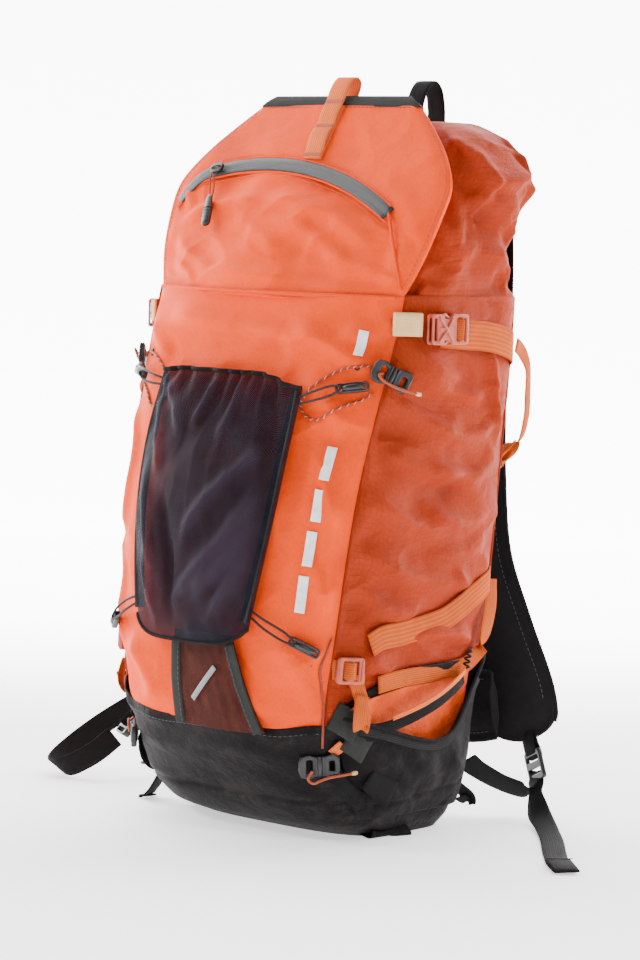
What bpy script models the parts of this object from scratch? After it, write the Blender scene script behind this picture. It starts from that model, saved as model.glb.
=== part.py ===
"""Top-loading mountain travel backpack of about 32 litres, standing on its base.

Metres, +Z up, the front faces -Y and the wearer's back panel faces +Y. The origin is the
middle of the flat rest face under the base. Each sub-part is one named object, and each
moving group hangs on an empty that stands on its joint.
"""

import math

import bmesh
import bpy
from mathutils import Matrix, Vector

# ---------------------------------------------------------------- driving dimensions
FABRIC = 0.0020  # wall thickness that stands for coated fabric with its seams
BASE_FABRIC = 0.0030  # two heavier layers
GAP = 0.0004  # clearance between pieces that touch
HEM_Z = 0.445  # top of the front and side panels, where the lid is sewn on
BASE_TOP_Z = 0.100  # top edge of the hard-wearing base
BACK_TOP_Z = 0.528  # top of the back panel
FRONT_SEAM = 57.0  # degrees round the section from the middle of the front
BACK_SEAM = 130.0
FRONT_ROUNDNESS = 0.625  # exponents of the section: smaller is squarer
BACK_ROUNDNESS = 0.333
WEBBING = 0.0016  # thickness of the straps
STRAP_WIDE = 0.025
STRAP_NARROW = 0.015

# height, half width, front and back of the outer shell
STATIONS = [
    (0.000, 0.104, -0.036, 0.084),
    (0.014, 0.113, -0.072, 0.090),
    (0.045, 0.119, -0.100, 0.101),
    (0.100, 0.121, -0.128, 0.110),
    (0.180, 0.133, -0.131, 0.113),
    (0.300, 0.143, -0.115, 0.113),
    (0.445, 0.152, -0.069, 0.112),
    (0.545, 0.146, -0.040, 0.112),
]
# height, half width, front and back of the slack collar above the hem
COLLAR_STATIONS = [
    (0.4470, 0.148, -0.0530, 0.104),
    (0.4800, 0.150, -0.0360, 0.104),
    (0.5150, 0.152, -0.0170, 0.102),
    (0.5400, 0.155, 0.0010, 0.105),
    (0.5680, 0.148, 0.0180, 0.112),
    (0.5870, 0.124, 0.0320, 0.113),
    (0.5960, 0.096, 0.0420, 0.107),
]

# the lid is a flap sewn to the front hem, and it leans back on the collar
LID_HINGE = Vector((0, -0.0735, 0.4490))
LID_LEAN = math.radians(32)
LID_LENGTH = 0.198
LID_THICK = 0.009
# distance from the hinge, half width of the flap, and how strongly its sides fall back
LID_STATIONS = [
    (0.000, 0.1340, 1.70),
    (0.040, 0.1450, 1.00),
    (0.085, 0.1510, 0.55),
    (0.112, 0.1500, 0.42),
    (0.142, 0.1330, 0.42),
    (0.170, 0.1080, 0.45),
    (0.198, 0.0790, 0.50),
]
LID_EDGE = 0.010  # width of the stiff strip along the free edge

# the zip's arc on the lid: a circle, with its far left end turned down
ZIP_CENTRE = (-0.0436, -0.1303)  # across and up the lid
ZIP_RADIUS = 0.2578
ZIP_ENDS = (-0.1380, 0.1040)  # across the lid
ZIP_TURN = -0.1120
ZIP_SLIDER_AT = -0.1035
PULL_SLANT = math.radians(24)

HIP_PIVOT = (0.112, 0.1345)
SHOULDER_PIVOT_Z = 0.500
HAUL_PIVOT = Vector((0, 0.1168, 0.5005))

COLOURS = {
    "orange": ((0.90, 0.115, 0.018), 0.62, 0),
    "rust": ((0.40, 0.070, 0.030), 0.50, 0),
    "base_black": ((0.022, 0.018, 0.020), 0.72, 0),
    "charcoal": ((0.030, 0.029, 0.030), 0.80, 0),
    "mesh_black": ((0.018, 0.016, 0.020), 0.85, 0),
    "grey_trim": ((0.060, 0.064, 0.062), 0.60, 0),
    "orange_webbing": ((0.76, 0.16, 0.030), 0.70, 0),
    "pale_orange": ((0.95, 0.27, 0.075), 0.70, 0),
    "tab_cream": ((0.95, 0.66, 0.30), 0.65, 0),
    "black_webbing": ((0.026, 0.026, 0.027), 0.78, 0),
    "black_plastic": ((0.020, 0.020, 0.022), 0.42, 0),
    "rust_plastic": ((0.62, 0.13, 0.085), 0.42, 0),
    "rust_cord": ((0.58, 0.12, 0.065), 0.65, 0),
    "foam_black": ((0.020, 0.019, 0.021), 0.85, 0),
    "board_black": ((0.030, 0.030, 0.032), 0.50, 0),
    "aluminium": ((0.70, 0.71, 0.73), 0.35, 1),
}


# ---------------------------------------------------------------- scene and materials
for old in list(bpy.data.objects):
    bpy.data.objects.remove(old, do_unlink=True)

parts = bpy.data.collections.new("travel_backpack")
cutters = bpy.data.collections.new("cutters")
bpy.context.scene.collection.children.link(parts)
bpy.context.scene.collection.children.link(cutters)


def material(key):
    """The Principled material of that key, made once."""
    found = bpy.data.materials.get(key)
    if found:
        return found
    colour, roughness, metallic = COLOURS[key]
    made = bpy.data.materials.new(key)
    made.use_nodes = True
    shader = made.node_tree.nodes["Principled BSDF"]
    shader.inputs["Base Color"].default_value = (*colour, 1)
    shader.inputs["Roughness"].default_value = roughness
    shader.inputs["Metallic"].default_value = metallic
    return made


def add(name, data, key, collection=parts):
    """An object of that mesh or curve in the collection, with its material."""
    obj = bpy.data.objects.new(name, data)
    collection.objects.link(obj)
    data.materials.append(material(key))
    return obj


def pivot(name, place):
    """An empty on a joint."""
    empty = bpy.data.objects.new(name, None)
    empty.location = place
    parts.objects.link(empty)
    return empty


def hang(empty, *objects):
    """Parents objects to a joint's empty, with their origins on it and their shapes where they were."""
    for obj in objects:
        obj.data.transform(Matrix.Translation(-empty.location))
        obj.parent = empty


# ---------------------------------------------------------------- shape helpers
def mix(a, b, t):
    return a + (b - a) * t


def along(stations, at):
    """The values of a list of stations at that height, on a smooth curve through them."""
    at = min(max(at, stations[0][0]), stations[-1][0])
    last = len(stations) - 2
    i = next((k for k in range(last + 1) if at <= stations[k + 1][0]), last)
    before, low = stations[max(i - 1, 0)], stations[i]
    high, after = stations[i + 1], stations[min(i + 2, last + 1)]
    step = high[0] - low[0]
    t = (at - low[0]) / step
    values = []
    for k in range(1, len(low)):
        slope_low = (high[k] - before[k]) / (high[0] - before[0]) * step
        slope_high = (after[k] - low[k]) / (after[0] - low[0]) * step
        values.append(
            (2 * t**3 - 3 * t**2 + 1) * low[k]
            + (t**3 - 2 * t**2 + t) * slope_low
            + (3 * t**2 - 2 * t**3) * high[k]
            + (t**3 - t**2) * slope_high
        )
    return values


def power(value, exponent):
    return math.copysign(abs(value) ** exponent, value)


def section(angle, height, stations=STATIONS):
    """A point of the shell: angle in degrees from the middle of the front, towards +X."""
    half, front, back = along(stations, height)
    a = math.radians(angle)
    roundness = FRONT_ROUNDNESS if math.cos(a) > 0 else BACK_ROUNDNESS
    x = half * power(math.sin(a), roundness)
    y = (front + back) / 2 - (back - front) / 2 * power(math.cos(a), roundness)
    return Vector((x, y, height))


def outward(angle, height):
    """The level direction that points out of the shell there."""
    ahead, behind = section(angle + 1, height), section(angle - 1, height)
    run = (ahead - behind).normalized()
    return Vector((run.y, -run.x, 0))


def on_shell(angle, height, out=0.0):
    return section(angle, height) + outward(angle, height) * out


def angle_at(share):
    """The angle at that share of the way from a side's middle to the front (-1) or the back (1)."""
    roundness = FRONT_ROUNDNESS if share < 0 else BACK_ROUNDNESS
    return math.degrees(math.acos(-power(share, 1 / roundness)))


def share_at(angle):
    """The other way round: the share at an angle."""
    cosine = math.cos(math.radians(angle))
    return -power(cosine, FRONT_ROUNDNESS if cosine > 0 else BACK_ROUNDNESS)


def on_side(y, z, out=0.0, side=1):
    """A point of the side at that y and z, and a distance out of it."""
    _, front, back = along(STATIONS, z)
    share = (y - (front + back) / 2) / ((back - front) / 2)
    return on_shell(side * angle_at(share), z, out)


def front_y(x, z):
    """The front panel's outer face at that x and z."""
    half, front, back = along(STATIONS, z)
    share = min(abs(x) / half, 1) ** (2 / FRONT_ROUNDNESS)
    return (front + back) / 2 - (back - front) / 2 * (1 - share) ** (FRONT_ROUNDNESS / 2)


def smooth_route(points, pieces=4):
    """More points on a smooth curve through the given ones."""
    points = [Vector(p) for p in points]
    route = []
    for i in range(len(points) - 1):
        a, b = points[max(i - 1, 0)], points[i]
        c, d = points[i + 1], points[min(i + 2, len(points) - 1)]
        for k in range(pieces):
            t = k / pieces
            route.append(
                b
                + (c - a) * (t / 2)
                + (2 * a - 5 * b + 4 * c - d) * (t * t / 2)
                + (3 * b - a - 3 * c + d) * (t**3 / 2)
            )
    return [*route, points[-1]]


def sheet(name, place, columns, rows, key, thickness=FABRIC, offset=-1):
    """A grid bent to place(a, b), a and b from 0 to 1, and thickened to a closed sheet."""
    mesh = bpy.data.meshes.new(name)
    grid = bmesh.new()
    bmesh.ops.create_grid(grid, x_segments=columns, y_segments=rows, size=0.5)
    for vertex in grid.verts:
        vertex.co = place(vertex.co.x + 0.5, vertex.co.y + 0.5)
    grid.to_mesh(mesh)
    grid.free()
    mesh.shade_smooth()
    obj = add(name, mesh, key)
    solidify = obj.modifiers.new("thickness", "SOLIDIFY")
    solidify.thickness = thickness
    solidify.offset = offset
    return obj


def loft(name, rings, key, cap_start=True, cap_end=True, thickness=0.0):
    """Faces between rings of points, each ring closed. It is a solid, or a shell if it has a thickness."""
    mesh = bpy.data.meshes.new(name)
    build = bmesh.new()
    loops = [[build.verts.new(p) for p in ring] for ring in rings]
    count = len(loops[0])
    for low, high in zip(loops, loops[1:]):
        for i in range(count):
            j = (i + 1) % count
            build.faces.new((low[i], low[j], high[j], high[i]))
    if cap_start:
        build.faces.new(reversed(loops[0]))
    if cap_end:
        build.faces.new(loops[-1])
    if cap_start and cap_end:
        bmesh.ops.recalc_face_normals(build, faces=build.faces)
    build.to_mesh(mesh)
    build.free()
    mesh.shade_smooth()
    mesh.set_sharp_from_angle(angle=math.radians(50))
    obj = add(name, mesh, key)
    if thickness:
        solidify = obj.modifiers.new("thickness", "SOLIDIFY")
        solidify.thickness = thickness
        solidify.offset = -1
    return obj


def directions(route):
    """The unit direction of travel at each point of a route."""
    last = len(route) - 1
    return [
        (route[min(i + 1, last)] - route[max(i - 1, 0)]).normalized()
        for i in range(last + 1)
    ]


def band(name, route, across, widths, thickness, key, corner=0.0):
    """A flat strap along a route. across is one sideways direction, or one for each point.
    With a corner its long edges are rounded, as on a padded strap."""
    count = len(route)
    sides = across if isinstance(across, list) else [Vector(across)] * count
    widths = widths if isinstance(widths, list) else [widths] * count
    rings = []
    for point, run, side, width in zip(route, directions(route), sides, widths):
        side = (side - run * side.dot(run)).normalized()
        face = side.cross(run)
        half, thick = side * (width / 2), face * (thickness / 2)
        if corner:
            inner, soft = side * (width / 2 - corner), thick * 0.45
            rings.append(
                [
                    point - inner - thick,
                    point + inner - thick,
                    point + half - soft,
                    point + half + soft,
                    point + inner + thick,
                    point - inner + thick,
                    point - half + soft,
                    point - half - soft,
                ]
            )
        else:
            rings.append(
                [
                    point - half - thick,
                    point + half - thick,
                    point + half + thick,
                    point - half + thick,
                ]
            )
    return loft(name, rings, key)


def cord(name, route, diameter, key):
    """A round cord along a route, as a curve with a bevel."""
    curve = bpy.data.curves.new(name, "CURVE")
    curve.dimensions = "3D"
    curve.bevel_depth = diameter / 2
    curve.bevel_resolution = 2
    curve.use_fill_caps = True
    spline = curve.splines.new("POLY")
    spline.points.add(len(route) - 1)
    for point, place in zip(spline.points, route):
        point.co = (*place, 1)
    return add(name, curve, key)


def block(name, size, key, bevel=0.0008):
    """A box about the origin with rounded edges."""
    mesh = bpy.data.meshes.new(name)
    build = bmesh.new()
    bmesh.ops.create_cube(build, size=1)
    bmesh.ops.scale(build, vec=Vector(size), verts=build.verts)
    build.to_mesh(mesh)
    build.free()
    obj = add(name, mesh, key)
    rounded = obj.modifiers.new("rounded edges", "BEVEL")
    rounded.width = bevel
    rounded.segments = 1
    return obj


def plate(name, outer, holes, thickness, key):
    """A flat outline in the XY plane about the origin, with holes, as a mesh."""
    curve = bpy.data.curves.new(name, "CURVE")
    curve.dimensions = "2D"
    curve.fill_mode = "BOTH"
    curve.extrude = thickness / 2
    for outline in [outer, *holes]:
        spline = curve.splines.new("POLY")
        spline.points.add(len(outline) - 1)
        for point, (x, y) in zip(spline.points, outline):
            point.co = (x, y, 0, 1)
        spline.use_cyclic_u = True
    drawn = bpy.data.objects.new(name + "_outline", curve)
    cutters.objects.link(drawn)
    bpy.context.view_layer.update()
    mesh = bpy.data.meshes.new_from_object(
        drawn.evaluated_get(bpy.context.evaluated_depsgraph_get())
    )
    bpy.data.objects.remove(drawn)
    weld = bmesh.new()
    weld.from_mesh(mesh)
    bmesh.ops.remove_doubles(weld, verts=weld.verts, dist=0.00001)
    weld.to_mesh(mesh)
    weld.free()
    mesh.name = name
    mesh.materials.clear()
    return add(name, mesh, key)


def rounded_rectangle(length, width, radius, middle=(0, 0), steps=3):
    """The corner points of a rectangle with arcs for corners."""
    points = []
    for quarter, (sx, sy) in enumerate(((1, 1), (-1, 1), (-1, -1), (1, -1))):
        for k in range(steps + 1):
            a = math.radians(90 * (quarter + k / steps))
            points.append(
                (
                    middle[0] + sx * (length / 2 - radius) + radius * math.cos(a),
                    middle[1] + sy * (width / 2 - radius) + radius * math.sin(a),
                )
            )
    return points


def lay(obj, run, up, face, place):
    """Turns a shape made about the origin: its X along run, Y along up, Z along face."""
    turn = Matrix((run, up, face)).transposed().to_4x4()
    obj.data.transform(Matrix.Translation(place) @ turn)
    return obj


def lay_on_shell(obj, side, angle, height, out, spin=0.0):
    """Lays a shape on the shell with its Z outward. side is 1 for +X or -1 for the mirror place."""
    face = outward(side * angle, height)
    run = Vector((-face.y, face.x, 0)) * side
    up = Vector((0, 0, 1))
    a = math.radians(spin)
    turned = run * math.cos(a) + up * math.sin(a)
    return lay(obj, turned, face.cross(turned), face, on_shell(side * angle, height, out))


# ---------------------------------------------------------------- bag shell
def shell_patch(name, start, end, low, high, key, columns=8, rows=12, out=0.0):
    """A panel of the shell between two angles. low and high are its heights, or functions of the angle."""

    def place(a, b):
        angle = mix(start, end, a)
        bottom = low(angle) if callable(low) else low
        top = high(angle) if callable(high) else high
        return on_shell(angle, mix(bottom, top, b), out)

    return sheet(name, place, columns, rows, key)


def side_panel(side, label):
    """Panel between the front and back seams of one side."""
    first = share_at(FRONT_SEAM + SEAM_GAP)
    last = share_at(BACK_SEAM - SEAM_GAP)

    def place(a, b):
        angle = angle_at(mix(first, last, a if side > 0 else 1 - a))
        return on_shell(side * angle, mix(BASE_TOP_Z + GAP, HEM_Z, b))

    return sheet(f"side_panel_{label}", place, 10, 12, "rust")


def base_tub():
    """The base: floor and lower walls in one, open at the top."""
    heights = [0.0, 0.006, 0.014, 0.028, 0.045, 0.070, BASE_TOP_Z - GAP]
    count = 40
    rings = [
        [section(360 * i / count, z) for i in range(count)] for z in heights
    ]
    return loft("base_tub", rings, "base_black", cap_end=False, thickness=BASE_FABRIC)


def collar():
    """The slack collar: a sleeve that rises from the hem and draws in to its mouth."""
    count = 36
    heights = [s[0] for s in COLLAR_STATIONS]
    rings = [
        [section(360 * i / count, z, COLLAR_STATIONS) for i in range(count)]
        for z in heights
    ]
    return loft(
        "collar", rings, "rust", cap_start=False, cap_end=False, thickness=0.0016
    )


SEAM_GAP = 0.65  # degrees from a seam to a panel's edge
base_tub()
shell_patch(
    "front_panel", -FRONT_SEAM, FRONT_SEAM, BASE_TOP_Z + GAP, HEM_Z, "orange", 14
)
for side, label in ((1, "right"), (-1, "left")):
    side_panel(side, label)
shell_patch(
    "back_panel", BACK_SEAM + SEAM_GAP, 360 - BACK_SEAM - SEAM_GAP, BASE_TOP_Z + GAP, BACK_TOP_Z, "charcoal", 10
)
collar()


# ---------------------------------------------------------------- frame and back padding
frame_stay = block("frame_stay", (0.022, 0.0030, 0.320), "aluminium", 0.0006)
frame_stay.data.transform(Matrix.Translation((0, 0.1045, 0.282)))
frame_sheet = block("frame_sheet", (0.170, 0.0020, 0.335), "board_black")
frame_sheet.data.transform(Matrix.Translation((0, 0.1005, 0.285)))

for side, label in ((1, "right"), (-1, "left")):
    pad = block(f"back_pad_{label}", (0.060, 0.010, 0.290), "foam_black", 0.0040)
    pad.data.transform(Matrix.Translation((side * 0.046, 0.1192, 0.310)))
lumbar = block("lumbar_pad", (0.190, 0.012, 0.075), "foam_black", 0.0045)
lumbar.data.transform(Matrix.Translation((0, 0.1202, 0.108)))


# ---------------------------------------------------------------- side pockets
POCKET = (-0.62, 0.84)  # shares of the side, front edge and back edge
POCKET_BULGE = 0.014
# share of the way back along the mouth, and its height
POCKET_MOUTH = [
    (0.00, 0.1100),
    (0.20, 0.1000),
    (0.40, 0.0880),
    (0.60, 0.0830),
    (0.75, 0.0940),
    (0.88, 0.1300),
    (1.00, 0.1500),
]


def side_pocket(side, label):
    """Stretch pocket on the base: closed at its foot and sides, and standing off at its mouth."""

    def place(a, b):
        share = a if side > 0 else 1 - a
        height = mix(0.020, along(POCKET_MOUTH, share)[0], b)
        stand_off = POCKET_BULGE * math.sin(math.pi * share) ** 0.7 * b**0.8
        angle = side * angle_at(mix(*POCKET, share))
        return on_shell(angle, height, FABRIC + 3 * GAP + stand_off)

    return sheet(f"side_pocket_{label}", place, 14, 8, "base_black")


for side, label in ((1, "right"), (-1, "left")):
    side_pocket(side, label)


# ---------------------------------------------------------------- front: helmet net, hooks and cords
NET_HALF = (0.064, 0.078)  # at its foot and its top
NET_Z = (0.166, 0.384)


def helmet_net():
    """Net pouch stretched over the front, standing off it in the middle."""

    def place(a, b):
        half = mix(*NET_HALF, b) + 0.006 * math.sin(math.pi * b)
        x = mix(-half, half, a)
        z = mix(*NET_Z, b)
        bulge = math.sin(math.pi * a) ** 0.6 * (0.35 + 0.65 * math.sin(math.pi * b))
        return Vector((x, front_y(x, z) - 0.008 - 0.024 * bulge, z))

    return sheet("helmet_net", place, 12, 12, "mesh_black", 0.0015)


helmet_net()

HOOKS = {"upper": (0.1150, 0.3765, 8.0), "lower": (0.1020, 0.1690, -25.0)}


def on_front(x, z, out):
    """A point in front of the front panel, and the direction out of it there."""
    step = 0.001
    slope_x = (front_y(x + step, z) - front_y(x - step, z)) / (2 * step)
    slope_z = (front_y(x, z + step) - front_y(x, z - step)) / (2 * step)
    face = Vector((slope_x, -1, slope_z)).normalized()
    return Vector((x, front_y(x, z), z)) + face * out, face


def lay_on_front(obj, side, x, z, out, spin):
    place, face = on_front(side * x, z, out)
    level = Vector((0, 0, 1)).cross(face).normalized() * -side
    up = face.cross(level) * side
    a = math.radians(spin)
    run = (level * math.cos(a) + up * math.sin(a)).normalized()
    return lay(obj, run, face.cross(run), face, place)


for side, label in ((1, "right"), (-1, "left")):
    for level, (x, z, spin) in HOOKS.items():
        hook = block(
            f"net_hook_{level}_{label}", (0.028, 0.0085, 0.0060), "black_plastic", 0.0018
        )
        lay_on_front(hook, side, x, z, 0.0075, spin)

CORD = 0.0022
# angle, height and distance out of the shell
UPPER_CORD = [
    (52.5, 0.3905, 0.0020),
    (46.0, 0.3955, 0.0018),
    (40.5, 0.3950, 0.0018),
    (34.4, 0.3930, 0.0018),
    (28.4, 0.3870, 0.0022),
    (23.6, 0.3780, 0.0026),
    (20.0, 0.3680, 0.0026),
    (19.6, 0.3600, 0.0026),
    (23.5, 0.3520, 0.0022),
    (29.3, 0.3510, 0.0020),
    (35.0, 0.3590, 0.0020),
    (40.5, 0.3640, 0.0020),
    (47.0, 0.3680, 0.0020),
    (52.0, 0.3740, 0.0020),
]
TOOL_CORD = [
    (55.0, 0.1760, 0.0020),
    (52.5, 0.1600, 0.0020),
    (51.0, 0.1500, 0.0022),
    (53.5, 0.1350, 0.0026),
    (55.5, 0.1200, 0.0030),
    (55.7, 0.1070, 0.0036),
    (54.9, 0.0950, 0.0036),
    (54.0, 0.0840, 0.0034),
]
for side, label in ((1, "right"), (-1, "left")):
    for name, points in (("front_cord", UPPER_CORD), ("tool_cord", TOOL_CORD)):
        route = [on_shell(side * t, z, out) for t, z, out in points]
        cord(f"{name}_{label}", smooth_route(route, 3), CORD, "rust_cord")

# tool keepers: a cam plate at the front seam, and a hook plate on the base
KEEPERS = {"upper": (58.5, 0.3880, -24.0), "lower": (49.5, 0.0690, 4.0)}
for side, label in ((1, "right"), (-1, "left")):
    for level, (angle, height, spin) in KEEPERS.items():
        keeper = plate(
            f"tool_keeper_{level}_{label}",
            rounded_rectangle(0.034, 0.020, 0.004),
            [rounded_rectangle(0.0038, 0.010, 0.0012, (-0.008, 0))],
            0.0055,
            "black_plastic",
        )
        lay_on_shell(keeper, side, angle, height, 0.0052, spin)


# ---------------------------------------------------------------- upper compression straps
BUCKLE_Y = -0.0150
BUCKLE_Z = 0.4265
UNDER = WEBBING / 2 + 0.0014  # a strap's middle when it lies on the fabric
OVER = 0.0088  # the buckle's middle, clear of the strap that runs beneath it


def side_strap(name, side, places, width):
    """Webbing that lies on the side along a smooth line. places are its y and z."""
    route = smooth_route([(0, y, z) for y, z in places], 2)
    route = [on_side(p.y, p.z, UNDER, side) for p in route]
    return band(name, route, (0, 0, 1), width, WEBBING, "orange_webbing")


UPPER_STRAP = [
    (-0.004, 0.4225),
    (0.020, 0.4215),
    (0.040, 0.4205),
    (0.060, 0.4180),
    (0.078, 0.4140),
    (0.090, 0.4100),
    (0.0955, 0.4080),
]


def buckle_frame(side):
    """The rest place of the side buckle: its middle, run to the back, up and face."""
    place = on_side(BUCKLE_Y, BUCKLE_Z, OVER, side)
    run = (on_side(BUCKLE_Y + 0.012, BUCKLE_Z, OVER, side) - place).normalized()
    face = Vector((run.y, -run.x, 0)) * side
    return place, run, face.cross(run), face


def strap_tab(side, label):
    """Folded webbing tab on the seam that holds the buckle's socket."""
    steps = ((54.5, 0.0034), (57.5, 0.0036), (60.5, 0.0040), (63.5, 0.0048), (66.0, 0.0060))
    route = [on_shell(side * angle, 0.4300, out) for angle, out in steps]
    return band(f"strap_tab_{label}", route, (0, 0, 1), 0.0195, 0.0028, "tab_cream")


def buckle_socket(side, label):
    """Female half: a flat box with a cavity open to the back."""
    place, run, up, face = buckle_frame(side)
    name = f"buckle_socket_{label}"
    body = block(name, (0.022, 0.025, 0.0080), "rust_plastic", 0.0020)
    cutter = block(name + "_cavity", (0.0200, 0.0170, 0.0048), "rust_plastic", 0.0004)
    parts.objects.unlink(cutter)
    cutters.objects.link(cutter)
    cutter.hide_render = True
    cutter.display_type = "WIRE"
    lay(body, run, up, face, place - run * 0.0038)
    lay(cutter, run, up, face, place)
    cut = body.modifiers.new("cavity", "BOOLEAN")
    cut.operation = "DIFFERENCE"
    cut.object = cutter
    return body


def buckle_plug(side, label):
    """Male half: tongue in the socket, then a bar with a slot for the webbing."""
    place, run, up, face = buckle_frame(side)
    outline = [
        (-0.0085, -0.0070),
        (0.0085, -0.0070),
        (0.0085, -0.0125),
        (0.0255, -0.0125),
        (0.0275, -0.0105),
        (0.0275, 0.0105),
        (0.0255, 0.0125),
        (0.0085, 0.0125),
        (0.0085, 0.0070),
        (-0.0085, 0.0070),
    ]
    slot = rounded_rectangle(0.0036, 0.0190, 0.0012, (0.0190, 0))
    plug = plate(f"buckle_plug_{label}", outline, [slot], 0.0036, "rust_plastic")
    plug = lay(plug, run, up, face, place)
    hang(pivot(f"buckle_plug_{label}_slide", place), plug)


for side, label in ((1, "right"), (-1, "left")):
    side_strap(f"upper_strap_{label}", side, UPPER_STRAP, STRAP_WIDE)
    strap_tab(side, label)
    buckle_socket(side, label)
    buckle_plug(side, label)


# ---------------------------------------------------------------- lower compression straps
ADJUSTER = (65.5, 0.1490)  # angle and height
LOWER_STRAP = [
    (-0.0640, 0.1690),
    (-0.0500, 0.1745),
    (-0.0300, 0.1760),
    (0.0000, 0.1795),
    (0.0250, 0.1840),
    (0.0450, 0.1925),
    (0.0690, 0.2040),
    (0.0860, 0.2105),
    (0.0950, 0.2130),
]


def ladder_lock(name, length, width, thickness, key):
    """A frame with two slots, for webbing that is pulled tight through it."""
    slot = (0.0036, width * 0.72)
    slots = [
        rounded_rectangle(*slot, 0.0008, (sign * length * 0.20, 0)) for sign in (-1, 1)
    ]
    return plate(name, rounded_rectangle(length, width, 0.0035), slots, thickness, key)


for side, label in ((1, "right"), (-1, "left")):
    side_strap(f"lower_strap_{label}", side, LOWER_STRAP, 0.020)
    lock = ladder_lock(f"strap_adjuster_{label}", 0.025, 0.022, 0.0040, "rust_plastic")
    lay_on_shell(lock, side, *ADJUSTER, 0.0062, -4.0)
    lock_pivot = on_shell(side * (ADJUSTER[0] - 4.5), ADJUSTER[1] + 0.001, 0.0058)
    hang(pivot(f"strap_adjuster_{label}_tilt", lock_pivot), lock)


# ---------------------------------------------------------------- lid
LID_UP = Vector((0, math.sin(LID_LEAN), math.cos(LID_LEAN)))
LID_FACE = Vector((0, -math.cos(LID_LEAN), math.sin(LID_LEAN)))


def lid_point(across, up, out=0.0):
    """A point of the lid's outer face: its sides fall back from the middle."""
    _, bow = along(LID_STATIONS, min(up, LID_LENGTH))
    level = Vector((across, bow * across * across, 0))
    return LID_HINGE + level + LID_UP * up + LID_FACE * out


def lid_flap():
    """The padded flap that holds the lid pocket."""

    def place(a, b):
        up = b * (LID_LENGTH - LID_EDGE - GAP)
        half = along(LID_STATIONS, up)[0]
        return lid_point(mix(-half, half, a), up)

    return sheet("lid_flap", place, 16, 12, "orange", LID_THICK)


def lid_edge_strip():
    """Stiff strip along the free edge."""

    def place(a, b):
        up = mix(LID_LENGTH - LID_EDGE + GAP, LID_LENGTH, b)
        half = along(LID_STATIONS, up)[0]
        return lid_point(mix(-half, half, a), up, 0.0005)

    return sheet("lid_edge_strip", place, 10, 2, "grey_trim", LID_THICK * 0.7)


def daisy_chain():
    """Webbing up the middle of the lid, and in a loop over its free edge."""
    top = LID_LENGTH
    steps = [
        (0.134, 0.0022),
        (0.150, 0.0022),
        (0.166, 0.0024),
        (0.180, 0.0030),
        (0.190, 0.0044),
        (top + 0.006, 0.0052),
        (top + 0.016, 0.0032),
        (top + 0.0195, -0.0020),
        (top + 0.016, -0.0072),
        (top + 0.006, -0.0092),
        (0.190, -0.0098),
    ]
    route = [lid_point(0, up, out) for up, out in steps]
    return band(
        "daisy_chain", smooth_route(route, 2), (1, 0, 0), 0.021, WEBBING, "pale_orange"
    )


def zip_up(across):
    """How far up the lid the zip is."""
    drop = 0.020 * (max(0.0, ZIP_TURN - across) / (ZIP_TURN - ZIP_ENDS[0])) ** 2
    reach = across - ZIP_CENTRE[0]
    return ZIP_CENTRE[1] + math.sqrt(ZIP_RADIUS**2 - reach * reach) - drop


def lid_zip():
    """Tape and closed coil of the lid pocket's zip, in one curved band."""
    count = 20
    route = []
    sides = []
    for i in range(count + 1):
        across = mix(*ZIP_ENDS, i / count)
        route.append(lid_point(across, zip_up(across), 0.0018))
        sides.append(LID_UP)
    return band("lid_zip", route, sides, 0.012, 0.0014, "grey_trim")


def zip_axis():
    """The circle through the zip's ends and its middle: its centre, and the direction it turns about."""
    a, b, c = (
        lid_point(x, zip_up(x), 0.005) for x in (ZIP_SLIDER_AT, -0.005, ZIP_ENDS[1])
    )
    ab, ac = b - a, c - a
    normal = ab.cross(ac)
    to_centre = (
        normal.cross(ab) * ac.length_squared + ac.cross(normal) * ab.length_squared
    ) / (2 * normal.length_squared)
    direction = normal.normalized()
    return a + to_centre, direction if direction.dot(LID_FACE) > 0 else -direction


def zip_slider_frame():
    place = lid_point(ZIP_SLIDER_AT, zip_up(ZIP_SLIDER_AT), 0.0050)
    step = 0.004
    ahead = lid_point(ZIP_SLIDER_AT + step, zip_up(ZIP_SLIDER_AT + step), 0.0050)
    run = (ahead - place).normalized()
    face = run.cross(LID_UP).normalized()
    face = face if face.dot(LID_FACE) > 0 else -face
    return place, run, face.cross(run), face


def zip_slider():
    place, run, up, face = zip_slider_frame()
    outline = [
        (-0.0065, -0.0030),
        (-0.0040, -0.0048),
        (0.0045, -0.0048),
        (0.0070, -0.0020),
        (0.0070, 0.0020),
        (0.0045, 0.0048),
        (-0.0040, 0.0048),
        (-0.0065, 0.0030),
    ]
    return lay(plate("zip_slider", outline, [], 0.0030, "black_plastic"), run, up, face, place)


def zip_pull():
    """Cord loop and moulded grip, hanging on the lid's face from the slider."""
    pin = lid_point(ZIP_SLIDER_AT - 0.001, zip_up(ZIP_SLIDER_AT) - 0.0075, 0.0050)
    rings = []
    profile = [
        (0.000, 0.0012),
        (0.026, 0.0012),
        (0.027, 0.0024),
        (0.034, 0.0036),
        (0.048, 0.0042),
        (0.057, 0.0042),
        (0.0585, 0.0034),
    ]
    down = Vector((math.sin(PULL_SLANT), 0, 0)) - LID_UP * math.cos(PULL_SLANT)
    sideways = down.cross(LID_FACE)
    for distance, radius in profile:
        middle = pin + down * distance + LID_FACE * (0.0022 * distance / 0.0585)
        rings.append(
            [
                middle
                + sideways * (radius * math.cos(math.radians(45 * k)))
                + LID_FACE * (radius * 0.75 * math.sin(math.radians(45 * k)))
                for k in range(8)
            ]
        )
    return pin, loft("zip_pull", rings, "black_plastic")


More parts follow.
